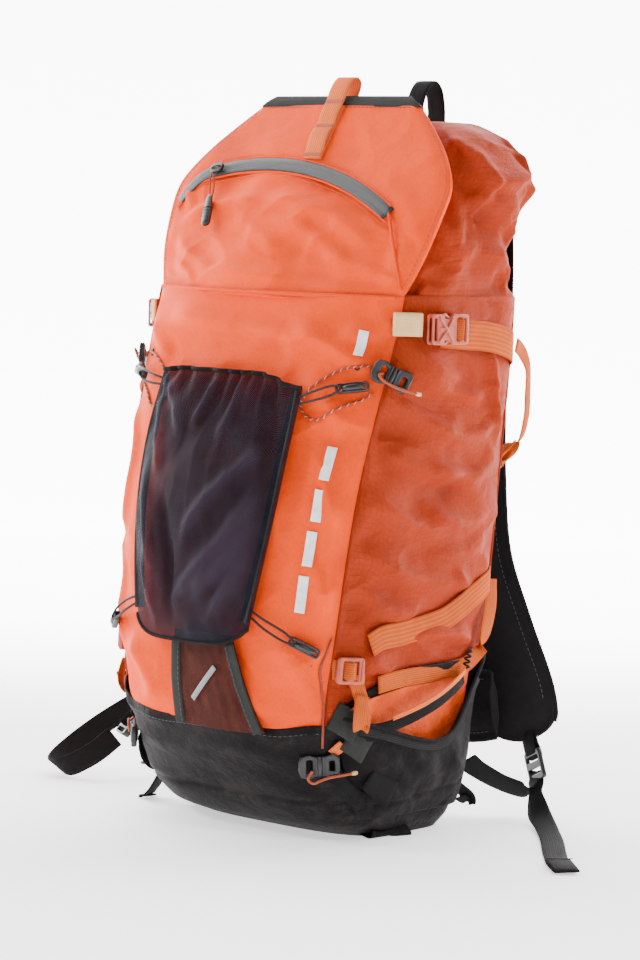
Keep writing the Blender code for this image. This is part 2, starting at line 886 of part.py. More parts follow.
lid_pieces = [lid_flap(), lid_edge_strip(), daisy_chain(), lid_zip()]
hang(pivot("lid_hinge", LID_HINGE), *lid_pieces)
zip_centre, zip_turn = zip_axis()
hang(pivot("zip_travel", zip_centre), zip_slider())
pull_pin, pull = zip_pull()
hang(pivot("zip_pull_swing", pull_pin), pull)


# ---------------------------------------------------------------- haul loop
def haul_loop():
    """Webbing loop above the back panel."""
    route = [
        (0, 0.1146, 0.4990),
        (0, 0.1148, 0.5200),
        (0, 0.1195, 0.5600),
        (0, 0.1262, 0.5980),
        (0, 0.1350, 0.6250),
        (0, 0.1465, 0.6350),
        (0, 0.1575, 0.6250),
        (0, 0.1610, 0.5980),
        (0, 0.1540, 0.5680),
        (0, 0.1340, 0.5320),
        (0, 0.1188, 0.5040),
    ]
    return band(
        "haul_loop", smooth_route(route, 2), (1, 0, 0), 0.020, WEBBING, "black_webbing"
    )


hang(pivot("haul_loop_swing", HAUL_PIVOT), haul_loop())


# ---------------------------------------------------------------- shoulder straps
SHOULDER_ROUTE = [
    (0.044, 0.1205, 0.4960),
    (0.045, 0.1400, 0.5070),
    (0.047, 0.1580, 0.4940),
    (0.0485, 0.1660, 0.4500),
    (0.0490, 0.1690, 0.3800),
    (0.0500, 0.1690, 0.3000),
    (0.0570, 0.1690, 0.2200),
    (0.0810, 0.1680, 0.1550),
    (0.1080, 0.1660, 0.1000),
    (0.1210, 0.1630, 0.0640),
]
SHOULDER_WIDTHS = [0.050, 0.056, 0.060, 0.062, 0.062, 0.062, 0.064, 0.068, 0.068, 0.044]


def shoulder_strap(side, label):
    """Padded strap from the back panel, over the shoulder and down."""
    route = [Vector((side * x, y, z)) for x, y, z in SHOULDER_ROUTE]
    count = len(route) - 1
    widths = []
    for i in range(count):
        widths += [mix(SHOULDER_WIDTHS[i], SHOULDER_WIDTHS[i + 1], k / 2) for k in range(2)]
    widths.append(SHOULDER_WIDTHS[-1])
    fine = smooth_route(route, 2)
    sides = []
    for i in range(len(fine)):
        twist = math.radians(24) * max(0.0, i / len(fine) - 0.45) / 0.55
        sides.append(Vector((math.cos(twist), side * math.sin(twist), 0)))
    return band(
        f"shoulder_strap_{label}", fine, sides, widths, 0.011, "foam_black", 0.004
    )


def shoulder_adjuster(side, label):
    lock = ladder_lock(f"shoulder_adjuster_{label}", 0.026, 0.027, 0.0035, "black_plastic")
    up = Vector((side * -0.42, 0.10, 1.0)).normalized()
    face = Vector((side * 0.45, 1, 0)).normalized()
    face = (face - up * face.dot(up)).normalized()
    run = up
    return lay(lock, run, face.cross(run), face, Vector((side * 0.1340, 0.1610, 0.0450)))


# place of the webbing's middle, and the direction across it
SHOULDER_WEBBING = [
    ((0.0960, 0.1120, 0.0500), (0.45, -0.35, 0.80)),
    ((0.0985, 0.1230, 0.0420), (0.45, -0.35, 0.80)),
    ((0.1080, 0.1400, 0.0310), (0.45, -0.35, 0.80)),
    ((0.1200, 0.1490, 0.0255), (0.45, -0.35, 0.80)),
    ((0.1310, 0.1550, 0.0240), (0.45, -0.35, 0.80)),
]
# its spare end on the right, which lies along the floor
FLOOR_TAIL = [
    ((0.1430, 0.1480, 0.0170), (0.60, 0.10, 0.70)),
    ((0.1600, 0.1330, 0.0085), (0.70, 0.50, 0.35)),
    ((0.1850, 0.1120, 0.0034), (0.75, 0.66, 0.05)),
    ((0.2150, 0.0800, 0.0026), (0.75, 0.66, 0)),
    ((0.2480, 0.0400, 0.0026), (0.78, 0.62, 0)),
    ((0.2760, 0.0080, 0.0026), (0.72, 0.69, 0)),
    ((0.2980, -0.0120, 0.0026), (0.68, 0.73, 0)),
]


def shoulder_webbing(side, label):
    """Webbing from the foot of the back panel to the strap's adjuster, and its spare end."""
    steps = SHOULDER_WEBBING + (FLOOR_TAIL if side > 0 else [])
    mirror = Vector((side, 1, 1))
    return band(
        f"shoulder_webbing_{label}",
        smooth_route([Vector(place) * mirror for place, _ in steps], 3),
        smooth_route([Vector(across) * mirror for _, across in steps], 3),
        0.020,
        WEBBING,
        "black_webbing",
    )


def sternum_strap(side, label):
    """Chest strap half: it hangs from the shoulder strap's inner edge."""
    x = side * 0.0145
    route = [
        (x, 0.1790, 0.3360),
        (x, 0.1797, 0.3250),
        (x, 0.1800, 0.3000),
        (x, 0.1800, 0.2750),
        (x, 0.1800, 0.2560),
    ]
    return band(
        f"sternum_strap_{label}",
        [Vector(p) for p in route],
        (1, 0, 0),
        STRAP_NARROW,
        WEBBING,
        "black_webbing",
    )


for side, label in ((1, "right"), (-1, "left")):
    shoulder = pivot(
        f"shoulder_{label}_swing", Vector((side * 0.045, 0.1150, SHOULDER_PIVOT_Z))
    )
    hang(shoulder, shoulder_strap(side, label), shoulder_adjuster(side, label))
    shoulder_webbing(side, label)
    half = "plug" if side > 0 else "socket"
    end = block(f"sternum_buckle_{half}", (0.018, 0.0070, 0.022), "black_plastic", 0.0015)
    end.data.transform(Matrix.Translation((side * 0.0145, 0.1800, 0.2440)))
    slide = pivot(f"sternum_{label}_slide", Vector((side * 0.0200, 0.1780, 0.3300)))
    hang(slide, sternum_strap(side, label), end)


# ---------------------------------------------------------------- hip belt
def hip_fin(side, label, direction, length):
    """Padded fin from the lumbar pad. direction is the level way it points."""
    start = Vector((side * HIP_PIVOT[0], HIP_PIVOT[1], 0.0980))
    drop = Vector((0, 0, -0.16))
    run = (direction + drop).normalized()
    route = [start + run * (length * t) for t in (0.04, 0.25, 0.55, 0.80, 1.0)]
    widths = [0.060, 0.064, 0.062, 0.050, 0.032]
    fin = band(
        f"hip_fin_{label}", route, (0, 0, 1), widths, 0.009, "foam_black", 0.0035
    )
    return fin, route[-1], run


def hip_belt():
    """The left fin stands out to the side and the right one is folded in behind the lumbar pad."""
    left_fin, left_end, left_run = hip_fin(-1, "left", Vector((-1, -0.06, 0)).normalized(), 0.118)
    right_fin, right_end, right_run = hip_fin(1, "right", Vector((-1, 0.100, 0)).normalized(), 0.105)
    loop = [
        left_end + left_run * 0.0015,
        Vector((-0.2460, 0.1080, 0.0740)),
        Vector((-0.2660, 0.0800, 0.0600)),
        Vector((-0.2840, 0.0450, 0.0380)),
        Vector((-0.2900, 0.0080, 0.0170)),
        Vector((-0.2800, -0.0150, 0.0088)),
        Vector((-0.2600, -0.0210, 0.0100)),
        Vector((-0.2440, -0.0040, 0.0220)),
        Vector((-0.2360, 0.0160, 0.0370)),
    ]
    webbing = band(
        "hip_webbing_left",
        smooth_route(loop, 3),
        (-0.55, -0.55, 0.62),
        0.020,
        WEBBING,
        "black_webbing",
    )
    plug = block("hip_buckle_plug", (0.024, 0.030, 0.0080), "black_plastic", 0.0018)
    turn = Matrix.Rotation(math.radians(-28), 4, "Z") @ Matrix.Rotation(math.radians(52), 4, "X")
    plug.data.transform(Matrix.Translation((-0.2300, 0.0310, 0.0500)) @ turn)
    socket = block("hip_buckle_socket", (0.032, 0.0080, 0.026), "black_plastic", 0.0018)
    socket.data.transform(Matrix.Translation(right_end + right_run * 0.0180))
    for side, label, pieces in (
        (-1, "left", (left_fin, webbing, plug)),
        (1, "right", (right_fin, socket)),
    ):
        place = Vector((side * HIP_PIVOT[0], HIP_PIVOT[1], 0.0980))
        hang(pivot(f"hip_{label}_swing", place), *pieces)


hip_belt()
bpy.context.view_layer.update()
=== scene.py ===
"""Looks of the travel backpack: fabric, webbing, cords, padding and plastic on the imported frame."""

import math

import bmesh
import bpy
import numpy as np
from mathutils import Matrix, Vector, noise
from mathutils.bvhtree import BVHTree


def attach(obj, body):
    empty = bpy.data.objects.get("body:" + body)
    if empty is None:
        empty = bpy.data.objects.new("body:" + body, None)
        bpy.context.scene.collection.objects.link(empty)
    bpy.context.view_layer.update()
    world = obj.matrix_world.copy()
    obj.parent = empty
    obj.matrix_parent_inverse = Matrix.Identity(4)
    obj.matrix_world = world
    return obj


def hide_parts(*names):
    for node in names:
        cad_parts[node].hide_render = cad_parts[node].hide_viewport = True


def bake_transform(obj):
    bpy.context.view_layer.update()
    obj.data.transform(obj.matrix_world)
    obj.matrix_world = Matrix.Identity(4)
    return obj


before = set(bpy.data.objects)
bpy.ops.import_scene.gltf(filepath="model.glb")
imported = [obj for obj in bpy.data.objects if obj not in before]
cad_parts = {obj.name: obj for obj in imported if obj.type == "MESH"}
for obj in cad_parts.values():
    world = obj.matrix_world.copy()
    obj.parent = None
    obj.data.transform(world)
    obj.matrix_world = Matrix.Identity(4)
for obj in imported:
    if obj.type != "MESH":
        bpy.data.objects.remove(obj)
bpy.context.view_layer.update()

# ---------------------------------------------------------------- the bag's shape, as in the CAD
STATIONS = [
    (0.000, 0.104, -0.036, 0.078),
    (0.014, 0.113, -0.072, 0.090),
    (0.045, 0.119, -0.100, 0.101),
    (0.100, 0.121, -0.128, 0.110),
    (0.180, 0.133, -0.131, 0.113),
    (0.300, 0.143, -0.115, 0.113),
    (0.445, 0.152, -0.069, 0.112),
    (0.545, 0.146, -0.040, 0.112),
]
COLLAR_STATIONS = [
    (0.4470, 0.148, -0.0530, 0.104),
    (0.4800, 0.150, -0.0360, 0.104),
    (0.5150, 0.152, -0.0170, 0.102),
    (0.5400, 0.155, 0.0010, 0.105),
    (0.5680, 0.148, 0.0180, 0.112),
    (0.5870, 0.124, 0.0320, 0.113),
    (0.5960, 0.096, 0.0420, 0.107),
]
LID_HINGE = np.array([0, -0.0735, 0.4490])
LID_LEAN = math.radians(32)
LID_UP = np.array([0, math.sin(LID_LEAN), math.cos(LID_LEAN)])
LID_FACE = np.array([0, -math.cos(LID_LEAN), math.sin(LID_LEAN)])
LID_STATIONS = [
    (0.000, 0.1340, 1.70),
    (0.040, 0.1450, 1.00),
    (0.085, 0.1510, 0.55),
    (0.112, 0.1500, 0.42),
    (0.142, 0.1330, 0.42),
    (0.170, 0.1080, 0.45),
    (0.198, 0.0790, 0.50),
]
POCKET_MOUTH = [(0, 0.11), (0.2, 0.1), (0.4, 0.088), (0.6, 0.083), (0.75, 0.094), (0.88, 0.13), (1, 0.15)]
FRONT, BACK = 0.625, 0.333  # exponents of the bag's front and back outline
DEGREE = 0.0022  # length of one degree of the bag's outline
MOUTH_Y = 0.074  # middle of the collar's mouth
SIDES = ((1, "right"), (-1, "left"))


def mix(a, b, t):
    return a + (b - a) * t


def unit(rows):
    """Each row at length 1."""
    return rows / np.linalg.norm(rows, axis=1, keepdims=True)


def grid_shares(columns, rows):
    """Shares from 0 to 1 across and up a grid, as a row and a column."""
    return np.linspace(0, 1, columns)[None, :], np.linspace(0, 1, rows)[:, None]


def show(obj):
    bpy.context.scene.collection.objects.link(obj)
    return obj


def smooth(low, high, value):
    t = np.clip((value - low) / (high - low), 0, 1)
    return t * t * (3 - 2 * t)


def along(stations, at):
    """The values of a table at each height, on a smooth curve through its rows."""
    s = np.array(stations, float)
    z = s[:, 0]
    at = np.clip(np.asarray(at, float), z[0], z[-1])
    i = np.clip(np.searchsorted(z, at) - 1, 0, len(z) - 2)
    before, low, high, after = s[np.maximum(i - 1, 0)], s[i], s[i + 1], s[np.minimum(i + 2, len(z) - 1)]
    step = high[..., :1] - low[..., :1]
    t = (at[..., None] - low[..., :1]) / step
    rise = (high - before) / (high[..., :1] - before[..., :1]) * step
    fall = (after - low) / (after[..., :1] - low[..., :1]) * step
    value = (
        (2 * t**3 - 3 * t**2 + 1) * low + (t**3 - 2 * t**2 + t) * rise + (3 * t**2 - 2 * t**3) * high
        + (t**3 - t**2) * fall
    )
    return [value[..., k] for k in range(1, s.shape[1])]


def power(value, exponent):
    return np.copysign(np.abs(value) ** exponent, value)


def section(angle, z, stations=STATIONS):
    angle, z = np.broadcast_arrays(np.asarray(angle, float), np.asarray(z, float))
    half, front, back = along(stations, z)
    a = np.radians(angle)
    e = np.where(np.cos(a) > 0, FRONT, BACK)
    y = (front + back) / 2 - (back - front) / 2 * power(np.cos(a), e)
    return np.stack([half * power(np.sin(a), e), y, z], -1)


def outward(angle, z, stations=STATIONS):
    run = (
        section(np.asarray(angle, float) + 1.5, z, stations)
        - section(np.asarray(angle, float) - 1.5, z, stations)
    )
    face = np.stack([run[..., 1], -run[..., 0], 0 * run[..., 0]], -1)
    return face / np.linalg.norm(face, axis=-1, keepdims=True)


def on_shell(angle, z, out=0.0, stations=STATIONS):
    return section(angle, z, stations) + outward(angle, z, stations) * np.asarray(out)[..., None]


def angle_at(share):
    share = np.asarray(share, float)
    return np.degrees(np.arccos(np.clip(-power(share, 1 / np.where(share < 0, FRONT, BACK)), -1, 1)))


def share_at(angle):
    c = np.cos(np.radians(angle))
    return -power(c, np.where(c > 0, FRONT, BACK))


def on_side(y, z, out=0.0, side=1):
    _, front, back = along(STATIONS, z)
    share = (np.asarray(y) - (front + back) / 2) / ((back - front) / 2)
    return on_shell(side * angle_at(share), z, out)


def front_y(x, z):
    half, front, back = along(STATIONS, z)
    share = np.minimum(np.abs(x) / half, 1) ** (2 / FRONT)
    return (front + back) / 2 - (back - front) / 2 * (1 - share) ** (FRONT / 2)


def front_face(x, z):
    e = 0.001
    slope_x = (front_y(x + e, z) - front_y(x - e, z)) / (2 * e)
    slope_z = (front_y(x, z + e) - front_y(x, z - e)) / (2 * e)
    face = np.stack([slope_x, -1 + 0 * slope_x, slope_z], -1)
    return face / np.linalg.norm(face, axis=-1, keepdims=True)


def on_front(x, z, out=0.0):
    x, z = np.broadcast_arrays(np.asarray(x, float), np.asarray(z, float))
    return np.stack([x, front_y(x, z), z], -1) + front_face(x, z) * np.asarray(out)[..., None]


def lid_point(across, up, out=0.0):
    across, up, out = np.broadcast_arrays(*(np.asarray(v, float) for v in (across, up, out)))
    bow = along(LID_STATIONS, np.minimum(up, 0.198))[1]
    level = np.stack([across, bow * across * across, 0 * across], -1)
    return LID_HINGE + level + LID_UP * up[..., None] + LID_FACE * out[..., None]


def zip_up(across):
    drop = 0.020 * (np.maximum(0.0, -0.112 - across) / 0.026) ** 2
    return -0.1303 + np.sqrt(0.2578**2 - (across + 0.0436) ** 2) - drop


def route(points, pieces=5):
    """More points on a smooth curve through the given ones."""
    p = np.array(points, float)
    made = []
    for i in range(len(p) - 1):
        a, b, c, d = p[max(i - 1, 0)], p[i], p[i + 1], p[min(i + 2, len(p) - 1)]
        for k in range(pieces):
            t = k / pieces
            made.append(
                b + (c - a) * (t / 2) + (2 * a - 5 * b + 4 * c - d) * (t * t / 2)
                + (3 * b - a - 3 * c + d) * (t**3 / 2)
            )
    return np.array([*made, p[-1]])


# ---------------------------------------------------------------- folds and noise
def field(points, scale, seed=0.0, octaves=2):
    """Smooth noise from -1 to 1 at each point."""
    flat = np.asarray(points, float).reshape(-1, points.shape[-1]) * np.asarray(scale)
    if flat.shape[1] == 2:
        flat = np.c_[flat, np.full(len(flat), seed)]
    else:
        flat = flat + seed
    values = [noise.fractal(Vector(p), 1.0, 2.0, octaves) for p in flat]
    return np.array(values).reshape(points.shape[:-1])


def ridges(points, scale, seed=0.0):
    """Noise with sharp ridges, as in crumpled cloth, from 0 to 1."""
    return (1 - np.minimum(np.abs(field(points, scale, seed, 1)) * 2.2, 1)) ** 2


def folded(out, u, v, specs):
    for spec in specs:
        out = out + fold(u, v, *spec)
    return out


def fold(u, v, start, end, width, height, sag=0.0):
    """A single fold from start to end: a soft ridge, or a crease if its height is negative."""
    (u0, v0), (u1, v1) = start, end
    length = math.hypot(u1 - u0, v1 - v0)
    tu, tv = (u1 - u0) / length, (v1 - v0) / length
    t = ((u - u0) * tu + (v - v0) * tv) / length
    d = (u - u0) * -tv + (v - v0) * tu - sag * 4 * t * (1 - t)
    ends = smooth(-0.08, 0.25, t) * smooth(1.08, 0.75, t)
    return height * ends * np.exp(-((d / width) ** 2))


# ---------------------------------------------------------------- meshes
def link(obj, material, body, stands_for=()):
    if material is not None:
        obj.data.materials.clear()
        obj.data.materials.append(material)
    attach(obj, body)
    if stands_for:
        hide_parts(*([stands_for] if isinstance(stands_for, str) else stands_for))
    return obj


def metric_uv(p, closed=False):
    """The real distances across and along a grid, in metres."""
    across = np.linalg.norm(np.diff(p, axis=1), axis=2)
    u = np.concatenate([np.zeros((len(p), 1)), np.cumsum(across, 1)], 1)
    if not closed:
        u -= u[:, u.shape[1] // 2][:, None]
    rise = np.linalg.norm(np.diff(p, axis=0), axis=2)
    v = np.concatenate([np.zeros((1, p.shape[1])), np.cumsum(rise, 0)], 0)
    return np.stack([u, v], -1)


def grid(name, p, closed=False, thickness=0.0, offset=-1.0, shade=None, levels=0, uv=None, flip=False):
    """A mesh through rows and columns of points, with its UV map in metres."""
    rows, columns = p.shape[:2]
    mesh = bpy.data.meshes.new(name)
    uv = metric_uv(p, closed) if uv is None else uv
    wide = columns if closed else columns - 1
    r, c = np.meshgrid(np.arange(rows - 1), np.arange(wide), indexing="ij")
    c2 = (c + 1) % columns
    faces = (
        np.stack(
            [r * columns + c, r * columns + c2, (r + 1) * columns + c2, (r + 1) * columns + c], -1
        ).reshape(-1, 4)
    )
    corner = (
        np.stack(
            [
                np.stack([r, c], -1), np.stack([r, c + 1], -1), np.stack([r + 1, c + 1], -1),
                np.stack([r + 1, c], -1)
            ],
            2
        ).reshape(-1, 4, 2)
    )
    if flip:
        faces, corner = faces[:, ::-1], corner[:, ::-1]
    if closed:
        last = uv[:, -1:] + (uv[:, -1:] - uv[:, -2:-1])
        uv = np.concatenate([uv, last], 1)
    mesh.from_pydata(p.reshape(-1, 3).tolist(), [], faces.tolist())
    layer = mesh.uv_layers.new(name="UVMap")
    layer.data.foreach_set("uv", uv[corner[..., 0], corner[..., 1]].reshape(-1).astype(np.float32))
    # the fold value of each point: cloth paints shade where it is low and wear where it is high, the net
    # paints highlights where it is high
    if shade is not None:
        mesh.attributes.new("fold", "FLOAT", "POINT").data.foreach_set(
            "value", np.asarray(shade, np.float32).reshape(-1)
        )
    mesh.shade_smooth()
    obj = bpy.data.objects.new(name, mesh)
    if thickness:
        m = obj.modifiers.new("thickness", "SOLIDIFY")
        m.thickness, m.offset = thickness, offset
    if levels:
        m = obj.modifiers.new("smooth", "SUBSURF")
        m.levels = m.render_levels = levels
    return show(obj)


def strap(name, points, across, width, thickness=0.0016, pieces=5, taper=None, rough=0.0, seed=1.0):
    """Webbing along a route: a flat strip with rounded edges, its UV along and across it."""
    p = route(points, pieces)
    run = unit(np.gradient(p, axis=0))
    side = np.asarray(across, float)
    side = np.broadcast_to(side, p.shape) if side.ndim == 1 else route(side, pieces)
    side = side - run * (side * run).sum(1, keepdims=True)
    side = unit(side)
    face = np.cross(side, run)
    width = np.full(len(p), width) if taper is None else width * taper(np.linspace(0, 1, len(p)))
    ring = [
        (-0.5, 0), (-0.47, 0.42), (-0.25, 0.5), (0, 0.5), (0.25, 0.5), (0.47, 0.42), (0.5, 0),
        (0.47, -0.42), (0.25, -0.5), (0, -0.5), (-0.25, -0.5), (-0.47, -0.42)
    ]
    sag = field(p, 60.0, seed) * rough if rough else np.zeros(len(p))
    grid_points = np.stack(
        [p + side * (width * a)[:, None] + face * (thickness * b + sag)[:, None] for a, b in ring], 1
    )
    length = np.r_[0, np.cumsum(np.linalg.norm(np.diff(p, axis=0), axis=1))]
    uv = np.stack([np.stack([length, width * a], -1) for a, _ in ring], 1)
    obj = grid(name, grid_points, closed=True, uv=uv)
    mesh = obj.data
    layer = mesh.uv_layers[0].data
    for polygon in mesh.polygons:  # the last column wraps back to the first
        for k in polygon.loop_indices:
            v = mesh.loops[k].vertex_index
            layer[k].uv = uv[v // len(ring), v % len(ring)]
    cap(obj)
    return obj


def cap(obj):
    """Closes a tube's two ends."""
    build = bmesh.new()
    build.from_mesh(obj.data)
    edges = [e for e in build.edges if e.is_boundary]
    bmesh.ops.holes_fill(build, edges=edges, sides=0)
    bmesh.ops.recalc_face_normals(build, faces=build.faces)
    build.to_mesh(obj.data)
    build.free()


def tube(name, points, radius, pieces=4, resolution=3, smooth_points=True):
    """A round cord, piping or thread."""
    curve = bpy.data.curves.new(name, "CURVE")
    curve.dimensions = "3D"
    curve.bevel_depth, curve.bevel_resolution, curve.use_fill_caps = radius, resolution, True
    lines = points if isinstance(points, list) and np.ndim(points[0]) == 2 else [points]
    for line in lines:
        line = route(line, pieces) if smooth_points else np.asarray(line)
        spline = curve.splines.new("POLY")
        spline.points.add(len(line) - 1)
        spline.points.foreach_set("co", np.c_[line, np.ones(len(line))].reshape(-1))
    obj = bpy.data.objects.new(name, curve)
    return show(obj)


def stitches(name, points, body, thread, length=0.0028, gap=0.0016, radius=0.00032):
    """A row of sewn stitches that follows a line."""
    p = np.asarray(points, float)
    reach = np.r_[0, np.cumsum(np.linalg.norm(np.diff(p, axis=0), axis=1))]
    lines = []
    at = gap
    while at + length < reach[-1]:
        lines.append(
            np.stack([np.interp([at, at + length / 2, at + length], reach, p[:, k]) for k in range(3)], 1)
        )
        at += length + gap
    obj = tube(name, lines, radius, resolution=1, smooth_points=False)
    return link(obj, thread, body)


def frame_of(run, face):
    run = np.asarray(run, float) / np.linalg.norm(run)
    face = np.asarray(face, float)
    face = face - run * face.dot(run)
    face /= np.linalg.norm(face)
    return run, np.cross(face, run), face


def placed(run, face, place):
    """The matrix that puts X along run and Z along face at a place."""
    x, y, z = frame_of(run, face)
    m = Matrix([[*row] for row in np.stack([x, y, z], 1)]).to_4x4()
    m.translation = Vector(place)
    return m


def moulded(name, outlines, thickness, where, edge=0.0006, resolution=2):
    """A moulded plastic plate: outlines with holes, its edges rounded."""
    curve = bpy.data.curves.new(name, "CURVE")
    curve.dimensions, curve.fill_mode = "2D", "BOTH"
    curve.extrude, curve.offset = thickness / 2 - edge, -edge
    curve.bevel_depth, curve.bevel_resolution = edge, resolution
    for outline in outlines:
        spline = curve.splines.new("POLY")
        spline.points.add(len(outline) - 1)
        for point, (x, y) in zip(spline.points, outline):
            point.co = (x, y, 0, 1)
        spline.use_cyclic_u = True
    drawn = bpy.data.objects.new(name, curve)
    show(drawn)
    bpy.context.view_layer.update()
    mesh = bpy.data.meshes.new_from_object(drawn.evaluated_get(bpy.context.evaluated_depsgraph_get()))
    bpy.data.objects.remove(drawn)
    mesh.name = name
    mesh.transform(where)
    mesh.shade_smooth()
    mesh.set_sharp_from_angle(angle=math.radians(40))
    obj = bpy.data.objects.new(name, mesh)
    return show(obj)


def rounded(length, width, radius, middle=(0, 0), steps=4):
    points = []
    for quarter, (sx, sy) in enumerate(((1, 1), (-1, 1), (-1, -1), (1, -1))):
        for k in range(steps + 1):
            a = math.radians(90 * (quarter + k / steps))
            points.append(
                (
                    middle[0] + sx * (length / 2 - radius) + radius * math.cos(a),
                    middle[1] + sy * (width / 2 - radius) + radius * math.sin(a)
                )
            )
    return points


def join(name, *objects):
    """Several meshes as one piece."""
    build = bmesh.new()
    for o in objects:
        build.from_mesh(o.data)
        bpy.data.objects.remove(o)
    mesh = bpy.data.meshes.new(name)
    build.to_mesh(mesh)
    build.free()
    mesh.shade_smooth()
    mesh.set_sharp_from_angle(angle=math.radians(40))
    obj = bpy.data.objects.new(name, mesh)
    return show(obj)


# ---------------------------------------------------------------- materials
class Surface:
    """A Principled material whose nodes are added one by one."""

    def __init__(self, name, roughness=0.6, metallic=0.0, sheen=0.0, specular=0.5, coat=0.0):
        self.made = bpy.data.materials.new(name)
        self.made.use_nodes = True
        self.tree = self.made.node_tree
        self.shader = self.tree.nodes["Principled BSDF"]
        s = self.shader.inputs
        s["Roughness"].default_value, s["Metallic"].default_value = roughness, metallic
        s["Sheen Weight"].default_value, s["Sheen Roughness"].default_value = sheen, 0.4
        s["Specular IOR Level"].default_value, s["Coat Weight"].default_value = specular, coat

    def node(self, kind, *inputs, out=0, **settings):
        n = self.tree.nodes.new("ShaderNode" + kind)
        for key, value in settings.items():
            if key[0].isupper():
                n.inputs[key.replace("_", " ")].default_value = value
            else:
                setattr(n, key, value)
        for socket, value in zip(n.inputs, inputs):
            self.put(socket, value)
        return n.outputs[out]

    def put(self, socket, value):
        if value is None:
            return
        if isinstance(value, bpy.types.NodeSocket):
            self.tree.links.new(value, socket)
        else:
            socket.default_value = value

    def math(self, operation, *inputs, clamp=False):
        return self.node("Math", *inputs, operation=operation, use_clamp=clamp)

    def uv(self):
        return self.node("TexCoord", out=2)

    def place(self):
        return self.node("TexCoord", out=3)

    def axes(self, vector):
        n = self.tree.nodes.new("ShaderNodeSeparateXYZ")
        self.tree.links.new(vector, n.inputs[0])
        return n.outputs[0], n.outputs[1], n.outputs[2]

    def noise(self, vector, scale, detail=2.0, rough=0.5):
        return self.node("TexNoise", vector, Scale=scale, Detail=detail, Roughness=rough)

    def stretch(self, vector, scale, turn=(0, 0, 0)):
        return self.node("Mapping", vector, Scale=scale, Rotation=turn)

    def ramp(self, value, low, high, smoothly=True):
        n = self.tree.nodes.new("ShaderNodeMapRange")
        n.interpolation_type = "SMOOTHSTEP" if smoothly else "LINEAR"
        self.tree.links.new(value, n.inputs[0])
        n.inputs[1].default_value, n.inputs[2].default_value = low, high
        return n.outputs[0]

    def blend(self, share, a, b, mode="MIX"):
        n = self.tree.nodes.new("ShaderNodeMix")
        n.data_type, n.blend_type = "RGBA", mode
        self.put(n.inputs[0], share)
        self.put(n.inputs[6], (*a, 1) if isinstance(a, tuple) else a)
        self.put(n.inputs[7], (*b, 1) if isinstance(b, tuple) else b)
        return n.outputs[2]

    def wave(self, value, period, phase=0.0):
        """A sine along a length in metres, from 0 to 1."""
        turned = self.math("MULTIPLY_ADD", value, 2 * math.pi / period, phase)
        return self.math("MULTIPLY_ADD", self.math("SINE", turned), 0.5, 0.5)

    def lines(self, value, period, width):
        """1 on a thin line once in each period, else 0."""
        share = self.math("PINGPONG", value, period / 2)
        return self.math("SUBTRACT", 1.0, self.ramp(share, width * 0.3, width))

    def colour(self, value):
        self.put(
            self.shader.inputs["Base Color"],
            value if isinstance(value, bpy.types.NodeSocket) else (*value, 1)
        )

    def rough(self, value):
        self.put(self.shader.inputs["Roughness"], value)

    def bump(self, *layers):
        """Heights and their depths in metres, laid one on another."""
        before = None
        for height, depth in layers:
            n = self.tree.nodes.new("ShaderNodeBump")
            n.inputs["Strength"].default_value, n.inputs["Distance"].default_value = 1.0, depth
            self.tree.links.new(height, n.inputs["Height"])
            if before:
                self.tree.links.new(before, n.inputs["Normal"])
            before = n.outputs[0]
        self.tree.links.new(before, self.shader.inputs["Normal"])
        return self


def scaled(colour, k):
    return tuple(min(1.0, c * k) for c in colour)


